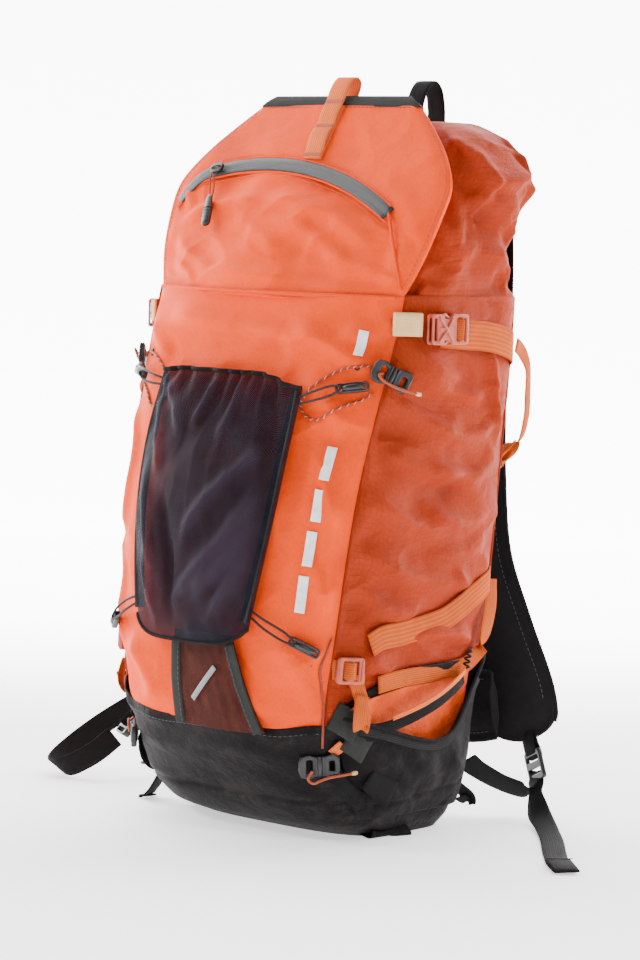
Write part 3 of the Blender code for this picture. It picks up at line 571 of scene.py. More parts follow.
def cloth(
    name, colour, roughness=0.6, sheen=0.0, weave=0.0011, ripstop=0.0, mottle=0.14, crumple=0.0006,
    worn=None, dust=0.0, specular=0.06, coat=0.0, scuff=0.12
):
    """Woven fabric: yarns, an optional ripstop grid, small creases, mottled dye, wear on its fold ridges and
    painted shade in its fold hollows.
    """
    s = Surface(name, roughness, sheen=sheen, specular=specular, coat=coat)
    uv, place = s.uv(), s.place()
    u, v, _ = s.axes(uv)
    yarn = s.math("MULTIPLY", s.wave(u, weave), s.wave(v, weave))
    fine = s.noise(s.stretch(uv, (900, 260, 1)), 1.0, 3.0)
    broad = s.noise(place, 14.0, 4.0, 0.6)
    crease = s.noise(s.stretch(place, (55, 55, 80), (0.5, 0.3, 0.2)), 1.0, 5.0, 0.62)
    lower, upper = scaled(colour, 1 - mottle), scaled(colour, 1 + mottle * 0.8)
    base = s.blend(s.ramp(broad, 0.33, 0.67), lower, upper)
    base = s.blend(s.math("MULTIPLY", s.ramp(fine, 0.45, 0.75), 0.35), base, scaled(colour, 0.72))
    base = s.blend(s.math("MULTIPLY", yarn, 0.16), base, scaled(colour, 1.35))
    fold_at = s.node("Attribute", attribute_name="fold", out=2)
    # painted shade: the colour darkens towards half its own where the fold value is low, in the hollows of
    # folds and creases
    base = s.blend(s.math("MULTIPLY", s.ramp(fold_at, -0.05, -0.9), 0.55), base, scaled(colour, 0.50))
    worn = worn or scaled(colour, 1.6)
    scuffs = s.math(
        "MULTIPLY", s.ramp(fold_at, 0.35, 1.1), s.ramp(s.noise(place, 75.0, 5.0, 0.7), 0.50, 0.70)
    )
    base = s.blend(s.math("MULTIPLY", scuffs, scuff), base, worn)
    layers = [(crease, crumple * 4), (yarn, 0.00010), (fine, 0.00008)]
    if ripstop:
        net = s.math("MAXIMUM", s.lines(u, ripstop, 0.0005), s.lines(v, ripstop, 0.0005))
        base = s.blend(s.math("MULTIPLY", net, 0.30), base, scaled(colour, 0.62))
        layers.append((net, 0.00018))
    if dust:
        _, _, height = s.axes(place)
        patches = s.ramp(s.noise(place, 26.0, 6.0, 0.72), 0.50, 0.74)
        low = s.math("SUBTRACT", 1.0, s.ramp(height, 0.0, 0.13))
        base = s.blend(
            s.math("MULTIPLY", s.math("MULTIPLY", patches, s.math("MULTIPLY_ADD", low, 0.7, 0.3)), dust),
            base, (0.30, 0.26, 0.23)
        )
        s.rough(s.math("MULTIPLY_ADD", patches, 0.25, roughness - 0.1))
    s.colour(base)
    return s.bump(*layers).made


def webbing(name, colour, rib=0.0022, dark=0.6, roughness=0.8, edge=0.8, width=0.02):
    """Woven strap: ribs along it in a herringbone of yarns, with darker selvedges."""
    s = Surface(name, roughness, specular=0.04)
    uv, place = s.uv(), s.place()
    u, v, _ = s.axes(uv)
    lengthways = s.wave(v, rib)
    zigzag = s.math("MULTIPLY_ADD", s.math("PINGPONG", v, rib), 0.9, u)
    yarns = s.wave(zigzag, 0.0013)
    height = s.math("MULTIPLY_ADD", yarns, 0.5, s.math("MULTIPLY", lengthways, 0.6))
    base = s.blend(s.ramp(height, 0.15, 0.95), scaled(colour, dark), scaled(colour, 1.12))
    base = s.blend(
        s.ramp(s.noise(place, 60.0, 4.0, 0.65), 0.35, 0.75), base, s.blend(0.25, base, scaled(colour, 0.45))
    )
    rim = s.ramp(s.math("ABSOLUTE", v), width / 2 - 0.0022, width / 2 - 0.0006)
    base = s.blend(s.math("MULTIPLY", rim, 1 - edge), base, scaled(colour, 0.4))
    fuzz = s.noise(s.stretch(uv, (500, 1500, 1)), 1.0, 2.0)
    s.colour(base)
    return s.bump((height, 0.00028), (fuzz, 0.00008)).made


def plastic(name, colour, roughness=0.38, grain=0.00006, scuff=0.25):
    """Moulded plastic: a fine grain, faint flow marks and pale rubbed spots."""
    s = Surface(name, roughness, specular=0.5)
    place = s.place()
    broad = s.noise(place, 120.0, 3.0)
    rubbed = s.ramp(s.noise(place, 240.0, 6.0, 0.7), 0.56, 0.72)
    base = s.blend(s.ramp(broad, 0.3, 0.7), scaled(colour, 0.88), scaled(colour, 1.1))
    base = s.blend(s.math("MULTIPLY", rubbed, scuff), base, tuple(0.55 * c + 0.16 for c in colour))
    s.colour(base)
    s.rough(s.math("MULTIPLY_ADD", broad, 0.2, roughness - 0.1))
    return s.bump((s.noise(place, 1500.0, 2.0), grain)).made


def braid(name, colour, length, fleck=None):
    """Braided cord: two sets of strands that cross, flecked with another colour."""
    s = Surface(name, 0.62, specular=0.2)
    u, v, _ = s.axes(s.uv())
    travel = s.math("MULTIPLY", u, length)
    around = s.math("MULTIPLY", v, 0.006)
    one = s.wave(s.math("ADD", travel, around), 0.0016)
    other = s.wave(s.math("SUBTRACT", travel, around), 0.0016)
    height = s.math("MAXIMUM", one, other)
    base = s.blend(s.ramp(height, 0.5, 1.0), scaled(colour, 0.45), scaled(colour, 1.15))
    if fleck:
        base = s.blend(
            s.math("MULTIPLY", s.lines(s.math("ADD", travel, around), 0.0064, 0.0009), 0.8), base, fleck
        )
    s.colour(base)
    return s.bump((height, 0.00025)).made


def mesh_net(name, colour, cell=0.0024, hole=0.30, along_cell=0.0030, clear=0.94):
    """Open knitted net: six-sided holes in rows, clear through, with painted highlights on the ridges of its
    folds.
    """
    s = Surface(name, 0.75, specular=0.08)
    u, v, _ = s.axes(s.uv())
    a = s.wave(u, cell)
    b = s.wave(v, along_cell)
    half = s.wave(u, cell, math.pi)
    other = s.wave(v, along_cell, math.pi)
    holes = s.math("MAXIMUM", s.math("MULTIPLY", a, b), s.math("MULTIPLY", half, other))
    open_share = s.ramp(holes, 1 - hole - 0.14, 1 - hole + 0.02)
    stretch_mark = s.noise(s.stretch(s.uv(), (120, 30, 1), (0, 0, 0.6)), 1.0, 4.0, 0.6)
    fold_at = s.node("Attribute", attribute_name="fold", out=2)
    base = s.blend(s.ramp(stretch_mark, 0.3, 0.7), scaled(colour, 0.8), scaled(colour, 1.5))
    # painted highlight: the colour lightens towards 3.2 times its own as the fold value rises on the net's
    # ridges
    s.colour(s.blend(s.math("MULTIPLY", s.ramp(fold_at, -0.1, 1.0), 0.75), base, scaled(colour, 3.2)))
    s.put(s.shader.inputs["Alpha"], s.math("SUBTRACT", 1.0, s.math("MULTIPLY", open_share, clear)))
    return s.bump((holes, 0.0003)).made


def coil(name, colour):
    """Closed zip coil: small teeth across the tape."""
    s = Surface(name, 0.5, specular=0.5)
    u, v, _ = s.axes(s.uv())
    middle = s.math("SUBTRACT", 1.0, s.ramp(s.math("ABSOLUTE", v), 0.0022, 0.0030))
    teeth = s.math("MULTIPLY", s.wave(u, 0.0013), middle)
    tape = s.wave(v, 0.0009)
    s.colour(s.blend(s.ramp(teeth, 0.2, 0.8), scaled(colour, 0.8), scaled(colour, 2.0)))
    return s.bump((teeth, 0.0005), (tape, 0.0001)).made


ORANGE = (0.90, 0.062, 0.001)
RUST = (0.36, 0.036, 0.010)
orange_cloth = cloth("orange_cloth", ORANGE, 0.60, 0.0, mottle=0.05, crumple=0.0004, worn=(1.0, 0.20, 0.06))
lining_cloth = cloth("lining_cloth", (0.80, 0.08, 0.010), 0.5, 0.05, mottle=0.1, crumple=0.001)
rust_cloth = cloth(
    "rust_ripstop", RUST, 0.68, 0.0, ripstop=0.0050, mottle=0.10, crumple=0.0006, worn=(0.50, 0.12, 0.06),
    specular=0.06, scuff=0.05
)
base_cloth = cloth(
    "base_cloth", (0.0085, 0.0072, 0.0077), 0.62, 0.0, weave=0.0014, mottle=0.2, crumple=0.0007,
    worn=(0.040, 0.036, 0.035), dust=0.12, specular=0.06
)
pocket_cloth = cloth(
    "pocket_stretch", (0.0075, 0.0063, 0.0070), 0.72, 0.0, weave=0.0011, mottle=0.2, crumple=0.0006,
    worn=(0.030, 0.027, 0.027), dust=0.08, specular=0.06
)
charcoal_cloth = cloth(
    "charcoal_cloth", (0.015, 0.0138, 0.0145), 0.78, 0.0, weave=0.0013, mottle=0.15, crumple=0.0004,
    worn=(0.09, 0.085, 0.085)
)
spacer_mesh = cloth(
    "spacer_mesh", (0.018, 0.018, 0.020), 0.85, 0.0, weave=0.0030, mottle=0.2, crumple=0.0003,
    worn=(0.06, 0.06, 0.06)
)
grey_tape = cloth("grey_tape", (0.028, 0.029, 0.027), 0.62, 0.0, weave=0.0010, mottle=0.1, crumple=0.0002)
net_cloth = mesh_net("net_mesh", (0.0085, 0.0075, 0.0125), 0.0015, 0.20, 0.0017, 0.42)
tongue_net = mesh_net("tongue_mesh", (0.055, 0.014, 0.010), 0.0015, 0.22, 0.0015, 0.55)
orange_web = webbing("orange_webbing", (0.60, 0.105, 0.020), rib=0.0018, dark=0.72)
wide_web = webbing("wide_webbing", (0.58, 0.098, 0.018), rib=0.0036, dark=0.72, width=0.025)
pale_web = webbing("pale_orange_webbing", (0.86, 0.17, 0.045), dark=0.75)
cream_web = webbing("cream_webbing", (0.93, 0.58, 0.27), rib=0.0016, dark=0.85)
black_web = webbing("black_webbing", (0.017, 0.0165, 0.0170), rib=0.0018, dark=0.6)
black_plastic = plastic("black_plastic", (0.010, 0.010, 0.011), scuff=0.10)
rust_plastic = plastic("rust_plastic", (0.50, 0.080, 0.045), 0.36, scuff=0.05)
zip_coil = coil("zip_coil", (0.008, 0.008, 0.009))
rust_thread = plastic("rust_thread", (0.42, 0.07, 0.03), 0.7, scuff=0.0)
dark_thread = plastic("dark_thread", (0.05, 0.045, 0.045), 0.7, scuff=0.0)
orange_thread = plastic("orange_thread", (0.55, 0.06, 0.012), 0.7, scuff=0.0)
elastic_black = braid("elastic_cord", (0.030, 0.030, 0.032), 0.10)


# ---------------------------------------------------------------- camera, floor and lights
VIEW_AZIMUTH, VIEW_ELEVATION, VIEW_ROLL = math.radians(41), math.radians(4.87), math.radians(1.70)
VIEW_DISTANCE, VIEW_LENS, VIEW_TARGET = 2.69, 118.9, (0.0165, 0, 0.292)
FLOOR_GLOW, FAR_FLOOR_GLOW, BACKDROP_GLOW, WORLD_GLOW = 0.9, 6.0, 7.0, 0.12
FLOOR_REACH, BACKDROP_REACH, BACKDROP_TOP, BACKDROP_AT, BACKDROP_SHIFT = 9, 14, 9, 3, -0.6


def set_up_camera():
    azimuth, elevation, roll = VIEW_AZIMUTH, VIEW_ELEVATION, VIEW_ROLL
    target = Vector(VIEW_TARGET)
    back = Vector(
        (
            math.sin(azimuth) * math.cos(elevation), -math.cos(azimuth) * math.cos(elevation),
            math.sin(elevation)
        )
    )
    level = Vector((0, 0, 1)).cross(back).normalized()
    upright = back.cross(level)
    right = level * math.cos(roll) + upright * math.sin(roll)
    camera = bpy.data.objects.new("camera", bpy.data.cameras.new("camera"))
    camera.data.lens, camera.data.sensor_width = VIEW_LENS, 36
    camera.matrix_world = (
        Matrix.Translation(target + back * VIEW_DISTANCE)
        @ Matrix((right, back.cross(right), back)).transposed().to_4x4()
    )
    show(camera)
    bpy.context.scene.camera = camera


def light(name, place, size, energy, aim=(0, 0, 0.3), colour=(1, 1, 1)):
    lamp = bpy.data.lights.new(name, "AREA")
    lamp.shape, lamp.size, lamp.energy, lamp.color = "DISK", size, energy, colour
    obj = bpy.data.objects.new(name, lamp)
    obj.location = place
    obj.rotation_euler = (Vector(aim) - Vector(place)).to_track_quat("-Z", "Y").to_euler()
    show(obj)


def studio():
    mesh = bpy.data.meshes.new("floor")
    mesh.from_pydata(
        [(x * FLOOR_REACH, y * FLOOR_REACH, 0) for x, y in ((-1, -1), (1, -1), (1, 1), (-1, 1))], [],
        [(0, 1, 2, 3)]
    )
    floor = bpy.data.objects.new("floor", mesh)
    s = Surface("floor_paper", 0.9, specular=0.1)
    s.colour(s.blend(s.ramp(s.noise(s.place(), 3.0), 0.2, 0.8), (0.87, 0.87, 0.875), (0.89, 0.89, 0.89)))
    s.put(s.shader.inputs["Emission Color"], (1, 1, 1, 1))
    x, y, _ = s.axes(s.place())
    behind = s.math("MULTIPLY_ADD", x, -0.656, s.math("MULTIPLY", y, 0.755))
    s.put(
        s.shader.inputs["Emission Strength"],
        s.math("MULTIPLY_ADD", s.ramp(behind, 0.35, 1.4), FAR_FLOOR_GLOW, FLOOR_GLOW)
    )
    mesh.materials.append(s.made)
    show(floor)
    wall = bpy.data.meshes.new("backdrop")
    wall.from_pydata(
        [
            (x * BACKDROP_REACH, BACKDROP_AT, z * BACKDROP_TOP) for x,
            z in ((-1, 0), (1, 0), (1, 1), (-1, 1))
        ],
        [], [(0, 1, 2, 3)]
    )
    backdrop = bpy.data.objects.new("backdrop", wall)
    backdrop.matrix_world = Matrix.Rotation(VIEW_AZIMUTH, 4, "Z") @ Matrix.Translation((0, BACKDROP_SHIFT, 0))
    paper = Surface("backdrop_paper", 0.9, specular=0.0)
    paper.colour(
        paper.blend(
            paper.ramp(paper.noise(paper.place(), 2.0), 0.2, 0.8), (0.80, 0.80, 0.80), (0.82, 0.82, 0.82)
        )
    )
    paper.put(paper.shader.inputs["Emission Color"], (1, 1, 1, 1))
    paper.put(paper.shader.inputs["Emission Strength"], BACKDROP_GLOW)
    wall.materials.append(paper.made)
    show(backdrop)
    world = bpy.data.worlds.new("studio")
    world.use_nodes = True
    world.node_tree.nodes["Background"].inputs[0].default_value = (1, 1, 1, 1)
    world.node_tree.nodes["Background"].inputs[1].default_value = WORLD_GLOW
    bpy.context.scene.world = world
    light("key", (-1.9, -2.2, 2.3), 0.6, 66)
    light("side", (2.7, -1.0, 2.9), 0.6, 62)
    light("rim", (1.0, 2.6, 2.4), 1.6, 20)


set_up_camera()
studio()

# ---------------------------------------------------------------- cords that lie on the bag
UPPER_CORD = [
    (52.5, 0.3905, 0.0020),
    (46.0, 0.3955, 0.0018),
    (40.5, 0.3950, 0.0018),
    (34.4, 0.3930, 0.0018),
    (28.4, 0.3870, 0.0022),
    (23.6, 0.3780, 0.0026),
    (20.0, 0.3680, 0.0026),
    (19.6, 0.3600, 0.0026),
    (23.5, 0.3520, 0.0022),
    (29.3, 0.3510, 0.0020),
    (35.0, 0.3590, 0.0020),
    (40.5, 0.3640, 0.0020),
    (47.0, 0.3680, 0.0020),
    (52.0, 0.3740, 0.0020),
]
TOOL_CORD = [
    (55.0, 0.1760, 0.0020),
    (52.5, 0.1600, 0.0020),
    (51.0, 0.1500, 0.0022),
    (53.5, 0.1350, 0.0026),
    (55.5, 0.1200, 0.0030),
    (55.7, 0.1070, 0.0036),
    (54.9, 0.0950, 0.0036),
    (54.0, 0.0840, 0.0034),
]


def length_of(points):
    return float(np.linalg.norm(np.diff(points, axis=0), axis=1).sum())


def lash_cord(
    name, points, body, material, diameter, stands_for=(),
):
    line = np.asarray(points)
    obj = tube(name, line, diameter / 2, smooth_points=False)
    link(obj, material, body, stands_for)
    return obj


def resting(points, faces, cloths, lift):
    """Points moved along their faces until they lie on the given fabric."""
    places, sheets = [], []
    bpy.context.view_layer.update()
    graph = bpy.context.evaluated_depsgraph_get()
    for cloth_name in cloths:
        shown = bpy.data.objects[cloth_name].evaluated_get(graph)
        sheets.append(
            BVHTree.FromPolygons(
                [shown.matrix_world @ v.co for v in shown.data.vertices],
                [tuple(f.vertices) for f in shown.data.polygons]
            )
        )
    for point, face in zip(np.asarray(points, float), np.asarray(faces, float)):
        start, way = Vector(point + face * 0.04), Vector(-face)
        reach = [hit[3] for hit in (sheet.ray_cast(start, way, 0.07) for sheet in sheets) if hit[0]]
        places.append(np.array(start + way * min(reach)) + face * lift if reach else point)
    return np.array(places)


def eased(points, times=3):
    """Points with their small jolts evened out, their ends kept."""
    p = np.array(points, float)
    for _ in range(times):
        p[1:-1] = (p[:-2] + 2 * p[1:-1] + p[2:]) / 4
    return p


def draw_cords():
    for side, label in SIDES:
        for name, points, fleck in (
            ("front_cord", UPPER_CORD, (0.9, 0.35, 0.2)), ("tool_cord", TOOL_CORD, None)
        ):
            table = route(points, 4)
            flat, faces = on_shell(
                side * table[:, 0], table[:, 1], table[:, 2]
            ), outward(side * table[:, 0], table[:, 1])
            line = eased(
                resting(flat, faces, ("front_fabric", "base_fabric", f"side_fabric_{label}"), 0.0012), 2
            )
            rope = braid(f"{name}_braid_{label}", (0.36, 0.060, 0.030), length_of(line), fleck)
            lash_cord(f"{name}_rope_{label}", line, "bag", rope, 0.0022, stands_for=f"{name}_{label}")


# ---------------------------------------------------------------- fabric of the bag
def crumpled(points, faces, amount, scale, seed, squeeze=(1, 1, 1)):
    """Moves a surface along its normals by crumpled noise."""
    k = np.asarray(squeeze, float) * scale
    wave = field(points, k, seed, 2) * 0.95 + ridges(points, k * 1.3, seed + 7) * 0.34 - 0.15
    return points + faces * (wave * amount)[..., None], wave


def edge_fade(a, b, across=0.10, lengthways=0.10):
    """0 at a panel's sewn edges and 1 inside it. a and b run from 0 to 1."""
    inside = smooth(0, across, a) * smooth(1, 1 - across, a) if across else 1.0
    return inside * (smooth(0, lengthways, b) * smooth(1, 1 - lengthways, b) if lengthways else 1.0)


def base_top(angle):
    """Height of the base's upper edge: level in front, up to the back behind the pockets."""
    a = (np.asarray(angle) + 180) % 360 - 180
    t = np.abs(a)
    rise = 0.018 * smooth(-30, -56, a) * smooth(-75, -60, a)
    level = np.interp(
        t, [0, 57, 62, 67, 77, 85, 90, 109, 129, 135, 180],
        [0.100, 0.1015, 0.107, 0.1195, 0.131, 0.137, 0.146, 0.148, 0.149, 0.110, 0.100]
    )
    return rise + level


BASE_FOLDS = [
    ((-0.10, 0.078), (0.02, 0.060), 0.010, 0.0030, 0.004),
    ((-0.02, 0.086), (0.10, 0.070), 0.009, 0.0026, -0.003),
    ((0.02, 0.052), (0.11, 0.028), 0.010, 0.0030, 0.003),
    ((-0.11, 0.045), (-0.02, 0.030), 0.012, 0.0026, -0.003),
    ((0.09, 0.075), (0.13, 0.030), 0.008, 0.0028, 0.002),
    ((0.115, 0.060), (0.19, 0.022), 0.010, 0.0030, 0.004),
    ((0.14, 0.070), (0.21, 0.045), 0.010, -0.0022, 0.0),
    ((-0.16, 0.070), (-0.10, 0.025), 0.009, 0.0026, 0.0),
]


def draw_base():
    columns, rows = 300, 84
    angle = np.linspace(0, 360, columns, endpoint=False)[None, :]
    b = np.linspace(0, 1, rows)[:, None]
    top = base_top(angle) + 0.0014 * np.sin(np.radians(angle * 9)) * (np.cos(np.radians(angle)) > 0.4)
    z = top * b
    a = angle + 0 * z
    arc = np.where(a > 180, a - 360, a)
    out = (
        0.0004
        + 0.0034 * np.maximum(
            smooth(57, 61, np.abs(arc)), smooth(-34, -44, arc)
        ) * smooth(0.088, 0.098, z) * smooth(137, 131, np.abs(arc))
    )
    x = arc * DEGREE
    out = folded(out, x, z, BASE_FOLDS)
    out = out - 0.0020 * np.exp(-(((z - 0.036) / 0.003) ** 2)) * smooth(75, 40, np.abs(arc))
    out = (
        out
        + 0.0016 * np.exp(-(((z - top + 0.007) / 0.005) ** 2)) * (
            1 + 0.7 * np.sin(np.radians(arc * 17))
        ) * smooth(70, 50, np.abs(arc))
    )
    out = out * smooth(0.002, 0.020, z)
    p = on_shell(a, z, out)
    p, wave = crumpled(p, outward(a, z) * smooth(0.004, 0.03, z)[..., None], 0.0022, 15, 3.0, (1, 1, 1.5))
    obj = grid("base_fabric", p, closed=True, thickness=0.0016, shade=wave * 1.2)
    link(obj, base_cloth, "bag", "base_tub")
    ring = np.stack(
        [
            p[0] * np.array([k, k, 0]) + np.array([0, 0.024 * (1 - k), 0.0006])
            for k in (1.0, 0.8, 0.5, 0.2, 0.02)
        ]
    )
    link(
        grid("base_floor", ring, closed=True, thickness=0.0012, offset=1, flip=True), base_cloth, "bag",
    )
    hem = np.stack([a[-1], z[-1] - 0.0065], -1)
    line = on_shell(hem[:, 0], hem[:, 1], np.full(columns, 0.0034))
    front = np.abs(arc[-1]) < 56
    order = np.argsort(arc[-1][front])
    stitches("base_hem_stitch", line[front][order], "bag", dark_thread)


FRONT_FOLDS = [
    ((-0.060, 0.432), (0.045, 0.405), 0.009, 0.0034, 0.004),
    ((0.020, 0.430), (0.105, 0.395), 0.008, 0.0030, -0.004),
    ((-0.100, 0.420), (-0.050, 0.395), 0.008, 0.0026, 0.0),
    ((0.060, 0.420), (0.120, 0.425), 0.010, 0.0024, 0.0),
    ((0.035, 0.385), (0.095, 0.340), 0.009, 0.0028, 0.004),
    ((0.070, 0.330), (0.110, 0.270), 0.008, 0.0026, -0.003),
    ((0.095, 0.300), (0.100, 0.180), 0.010, 0.0024, 0.006),
    ((0.080, 0.240), (0.118, 0.200), 0.008, 0.0022, 0.0),
    ((0.060, 0.170), (0.110, 0.120), 0.010, 0.0024, 0.004),
    ((-0.110, 0.360), (-0.095, 0.240), 0.010, 0.0026, 0.005),
    ((-0.115, 0.240), (-0.090, 0.140), 0.010, 0.0024, -0.004),
    ((-0.060, 0.160), (-0.020, 0.110), 0.010, 0.0022, 0.0),
    ((0.020, 0.150), (0.060, 0.105), 0.009, 0.0020, 0.0),
    ((-0.030, 0.300), (0.050, 0.270), 0.012, 0.0016, 0.0),
]
SIDE_FOLDS = [  # distance back from the front seam, and height
    ((0.010, 0.415), (0.085, 0.385), 0.009, 0.0042, 0.007),
    ((0.020, 0.395), (0.120, 0.372), 0.008, 0.0038, 0.009),
    ((0.006, 0.372), (0.090, 0.345), 0.010, 0.0040, 0.008),
    ((0.050, 0.345), (0.140, 0.350), 0.009, 0.0034, 0.010),
    ((0.008, 0.335), (0.100, 0.305), 0.010, 0.0040, 0.009),
    ((0.060, 0.318), (0.145, 0.308), 0.009, 0.0036, 0.008),
    ((0.006, 0.292), (0.095, 0.262), 0.010, 0.0042, 0.010),
    ((0.065, 0.278), (0.150, 0.272), 0.009, 0.0034, 0.009),
    ((0.008, 0.250), (0.110, 0.215), 0.011, 0.0040, 0.010),
    ((0.070, 0.242), (0.155, 0.250), 0.010, 0.0030, 0.007),
    ((0.012, 0.215), (0.080, 0.190), 0.010, 0.0036, 0.008),
    ((0.110, 0.225), (0.160, 0.195), 0.009, 0.0030, 0.004),
    ((0.015, 0.165), (0.080, 0.135), 0.010, 0.0036, 0.004),
    ((0.060, 0.172), (0.150, 0.160), 0.009, 0.0034, -0.006),
    ((0.075, 0.148), (0.140, 0.138), 0.008, 0.0028, -0.004),
    ((0.120, 0.430), (0.150, 0.330), 0.008, 0.0030, 0.004),
    ((0.030, 0.440), (0.120, 0.436), 0.008, 0.0026, 0.004),
]


def draw_front():
    a, b = grid_shares(180, 230)
    angle = mix(-57.4, 57.4, a) + 0 * b
    z = mix(0.096, 0.4525, b) + 0 * a
    x = angle * DEGREE
    out = folded(0.0, x, z, FRONT_FOLDS)
    fade = edge_fade(a, b, 0.06, 0.05) * (0.1 + 0.9 * smooth(0.0, 0.012, z - base_top(angle)))
    p = on_shell(angle, z, 0.0002 + out * 2.0 * fade)
    p, wave = crumpled(p, outward(angle, z) * fade[..., None], 0.0052, 12, 21.0, (1, 1, 1.3))
    link(
        grid("front_fabric", p, thickness=0.0014, shade=wave * 0.7 + out * 80), orange_cloth, "bag",
        "front_panel"
    )


def draw_side(side, label):
    a, b = grid_shares(170, 240)
    share = mix(share_at(57.2), share_at(130.4), a) + 0 * b
    z = mix(0.094, 0.4535, b) + 0 * a
    angle = angle_at(share)
    reach = a * 0.170 + 0 * b
    out = np.zeros_like(z)
    for (s0, z0), (s1, z1), width, height, sag in SIDE_FOLDS:
        out += fold(reach, z, (s0, z0), (s1, z1), width * 0.8, height * 1.05, -sag)
    strap_at = np.interp(reach, [0.03, 0.17], [0.4265, 0.408])
    low_at = np.interp(reach, [0.0, 0.05, 0.12, 0.17], [0.165, 0.177, 0.200, 0.214])
    pull = np.exp(-(((z - strap_at) / 0.013) ** 2)) + np.exp(-(((z - low_at) / 0.011) ** 2))
    out = out * (1 - 0.85 * np.clip(pull, 0, 1)) - 0.0010 * pull
    fade = edge_fade(a, b, 0.035, 0.02)
    seed = 40.0 + side
    behind = smooth(0.0, 0.012, z - base_top(angle))
    calm = fade * (1 - 0.7 * np.clip(pull, 0, 1)) * (0.15 + 0.85 * behind)
    out = out * (0.1 + 0.9 * behind)
    p = on_shell(side * angle, z, 0.0003 + out * 2.0 * fade)
    p, wave = crumpled(p, outward(side * angle, z) * calm[..., None], 0.0062, 14, seed, (1, 1, 1.6))
    p, more = crumpled(p, outward(side * angle, z) * calm[..., None], 0.0009, 48, seed + 5, (1, 1, 1.5))
    obj = grid(f"side_fabric_{label}", p, thickness=0.0012, offset=-side, shade=wave + more * 0.3 + out * 90)
    link(obj, rust_cloth, "bag", f"side_panel_{label}")
    # piping along both seams
    for name, t, bottom, top in (("front", 57.3, 0.098, 0.452), ("back", 130.0, 0.098, 0.452)):
        zs = np.linspace(bottom, top, 40)
        link(
            tube(
                f"{name}_seam_{label}", on_shell(side * t, zs, np.full(40, 0.0008)), 0.0011,
                smooth_points=False
            ),
            rust_cloth, "bag"
        )


def draw_back():
    a, b = grid_shares(90, 120)
    angle = mix(129.6, 230.4, a) + 0 * b
    z = mix(0.096, 0.5285, b) + 0 * a
    out = 0.0010 * np.sin(a * math.pi) + 0 * b
    p, wave = crumpled(
        on_shell(angle, z, out), outward(angle, z) * edge_fade(a, b, 0.05, 0.05)[..., None], 0.0010, 22,
        61.0
    )
    link(
        grid("back_fabric", p, thickness=0.0015, shade=wave), charcoal_cloth, "bag",
        "back_panel"
    )
    edge = on_shell(np.linspace(130, 230, 40), np.full(40, 0.5290), np.full(40, -0.0006))
    link(tube("back_top_binding", edge, 0.0021, smooth_points=False), grey_tape, "bag")


COLLAR_FOLDS = [  # distance round from the front, and height
    ((0.110, 0.585), (0.190, 0.540), 0.008, 0.0060, 0.006),
    ((0.120, 0.560), (0.230, 0.555), 0.008, 0.0055, -0.010),
    ((0.105, 0.545), (0.170, 0.500), 0.009, 0.0060, 0.006),
    ((0.150, 0.535), (0.250, 0.500), 0.009, 0.0055, 0.010),
    ((0.110, 0.515), (0.180, 0.475), 0.009, 0.0050, 0.006),
    ((0.170, 0.495), (0.250, 0.465), 0.009, 0.0045, 0.006),
    ((0.115, 0.480), (0.200, 0.458), 0.008, 0.0035, 0.004),
    ((0.230, 0.590), (0.280, 0.500), 0.010, 0.0045, 0.006),
    ((0.290, 0.580), (0.330, 0.480), 0.010, 0.0040, 0.006),
    ((0.350, 0.590), (0.380, 0.500), 0.010, 0.0040, 0.006),
]


def draw_collar():
    columns, rows = 260, 130
    angle = np.linspace(0, 360, columns, endpoint=False)[None, :]
    b = np.linspace(0, 1, rows)[:, None]
    z = mix(0.4480, 0.5955, b) + 0 * angle
    a = angle + 0 * b
    arc = np.where(a > 180, a - 360, a)
    t = np.abs(arc)
    join_at = (smooth(0.474, 0.449, z) * smooth(56, 66, t) * smooth(136, 128, t))[..., None]
    base = mix(section(a, z, COLLAR_STATIONS), section(a, np.minimum(z, 0.53)), join_at)
    face = outward(a, z, COLLAR_STATIONS)
    right = smooth(25, 60, t)
    x = t * DEGREE
    out = folded(0.0, x, z, COLLAR_FOLDS)
    fade = smooth(0.449, 0.462, z) * (0.35 + 0.65 * smooth(0.5955, 0.580, z)) * (0.25 + 0.75 * right)
    p = base + face * (out * 1.5 * fade)[..., None]
    p, wave = crumpled(p, face * fade[..., None], 0.0100, 19, 73.0, (1, 1, 0.8))
    p, more = crumpled(p, face * fade[..., None], 0.0036, 44, 79.0)
    # the mouth: the hem rolls in and drops into a hollow, its inner rings painted with shade
    inner = []
    for pull, drop in ((0.93, -0.0015), (0.84, 0.004), (0.70, 0.014), (0.62, 0.030)):
        ring = p[-1] * np.array([pull, 1, 1]) - np.array([0, 0, drop])
        ring[:, 1] = mix(p[-1][:, 1], MOUTH_Y, 1 - pull)
        inner.append(ring)
    p = np.concatenate([p, np.stack(inner)], 0)
    # the rolled-in rings get a low fold value, so their colour is painted with shade
    shade = np.concatenate([wave + more * 0.3 + out * 70, np.zeros((len(inner), columns)) - 0.6], 0)
    link(
        grid("collar_fabric", p, closed=True, thickness=0.0012, shade=shade), rust_cloth, "bag",
        "collar"
    )


# ---------------------------------------------------------------- lid
def lathe(name, points, radii, flat=1.0, up=(0, 0, 1), sides=20, pieces=4):
    """A round or flattened bar whose radius changes along it."""
    table = route(np.c_[np.asarray(points, float), np.asarray(radii, float)], pieces)
    p, r = table[:, :3], np.maximum(table[:, 3], 0.00005)
    run = unit(np.gradient(p, axis=0))
    side = np.cross(run, np.broadcast_to(np.asarray(up, float), p.shape))
    side = unit(side)
    face = np.cross(side, run)
    turn = np.linspace(0, 2 * math.pi, sides, endpoint=False)
    ring = np.stack(
        [p + side * (r * math.cos(t))[:, None] + face * (r * flat * math.sin(t))[:, None] for t in turn], 1
    )
    obj = grid(name, ring, closed=True)
    cap(obj)
    return obj


def on_lid(across, up, out=0.0):
    return lid_point(np.asarray(across, float), np.asarray(up, float), np.asarray(out, float))


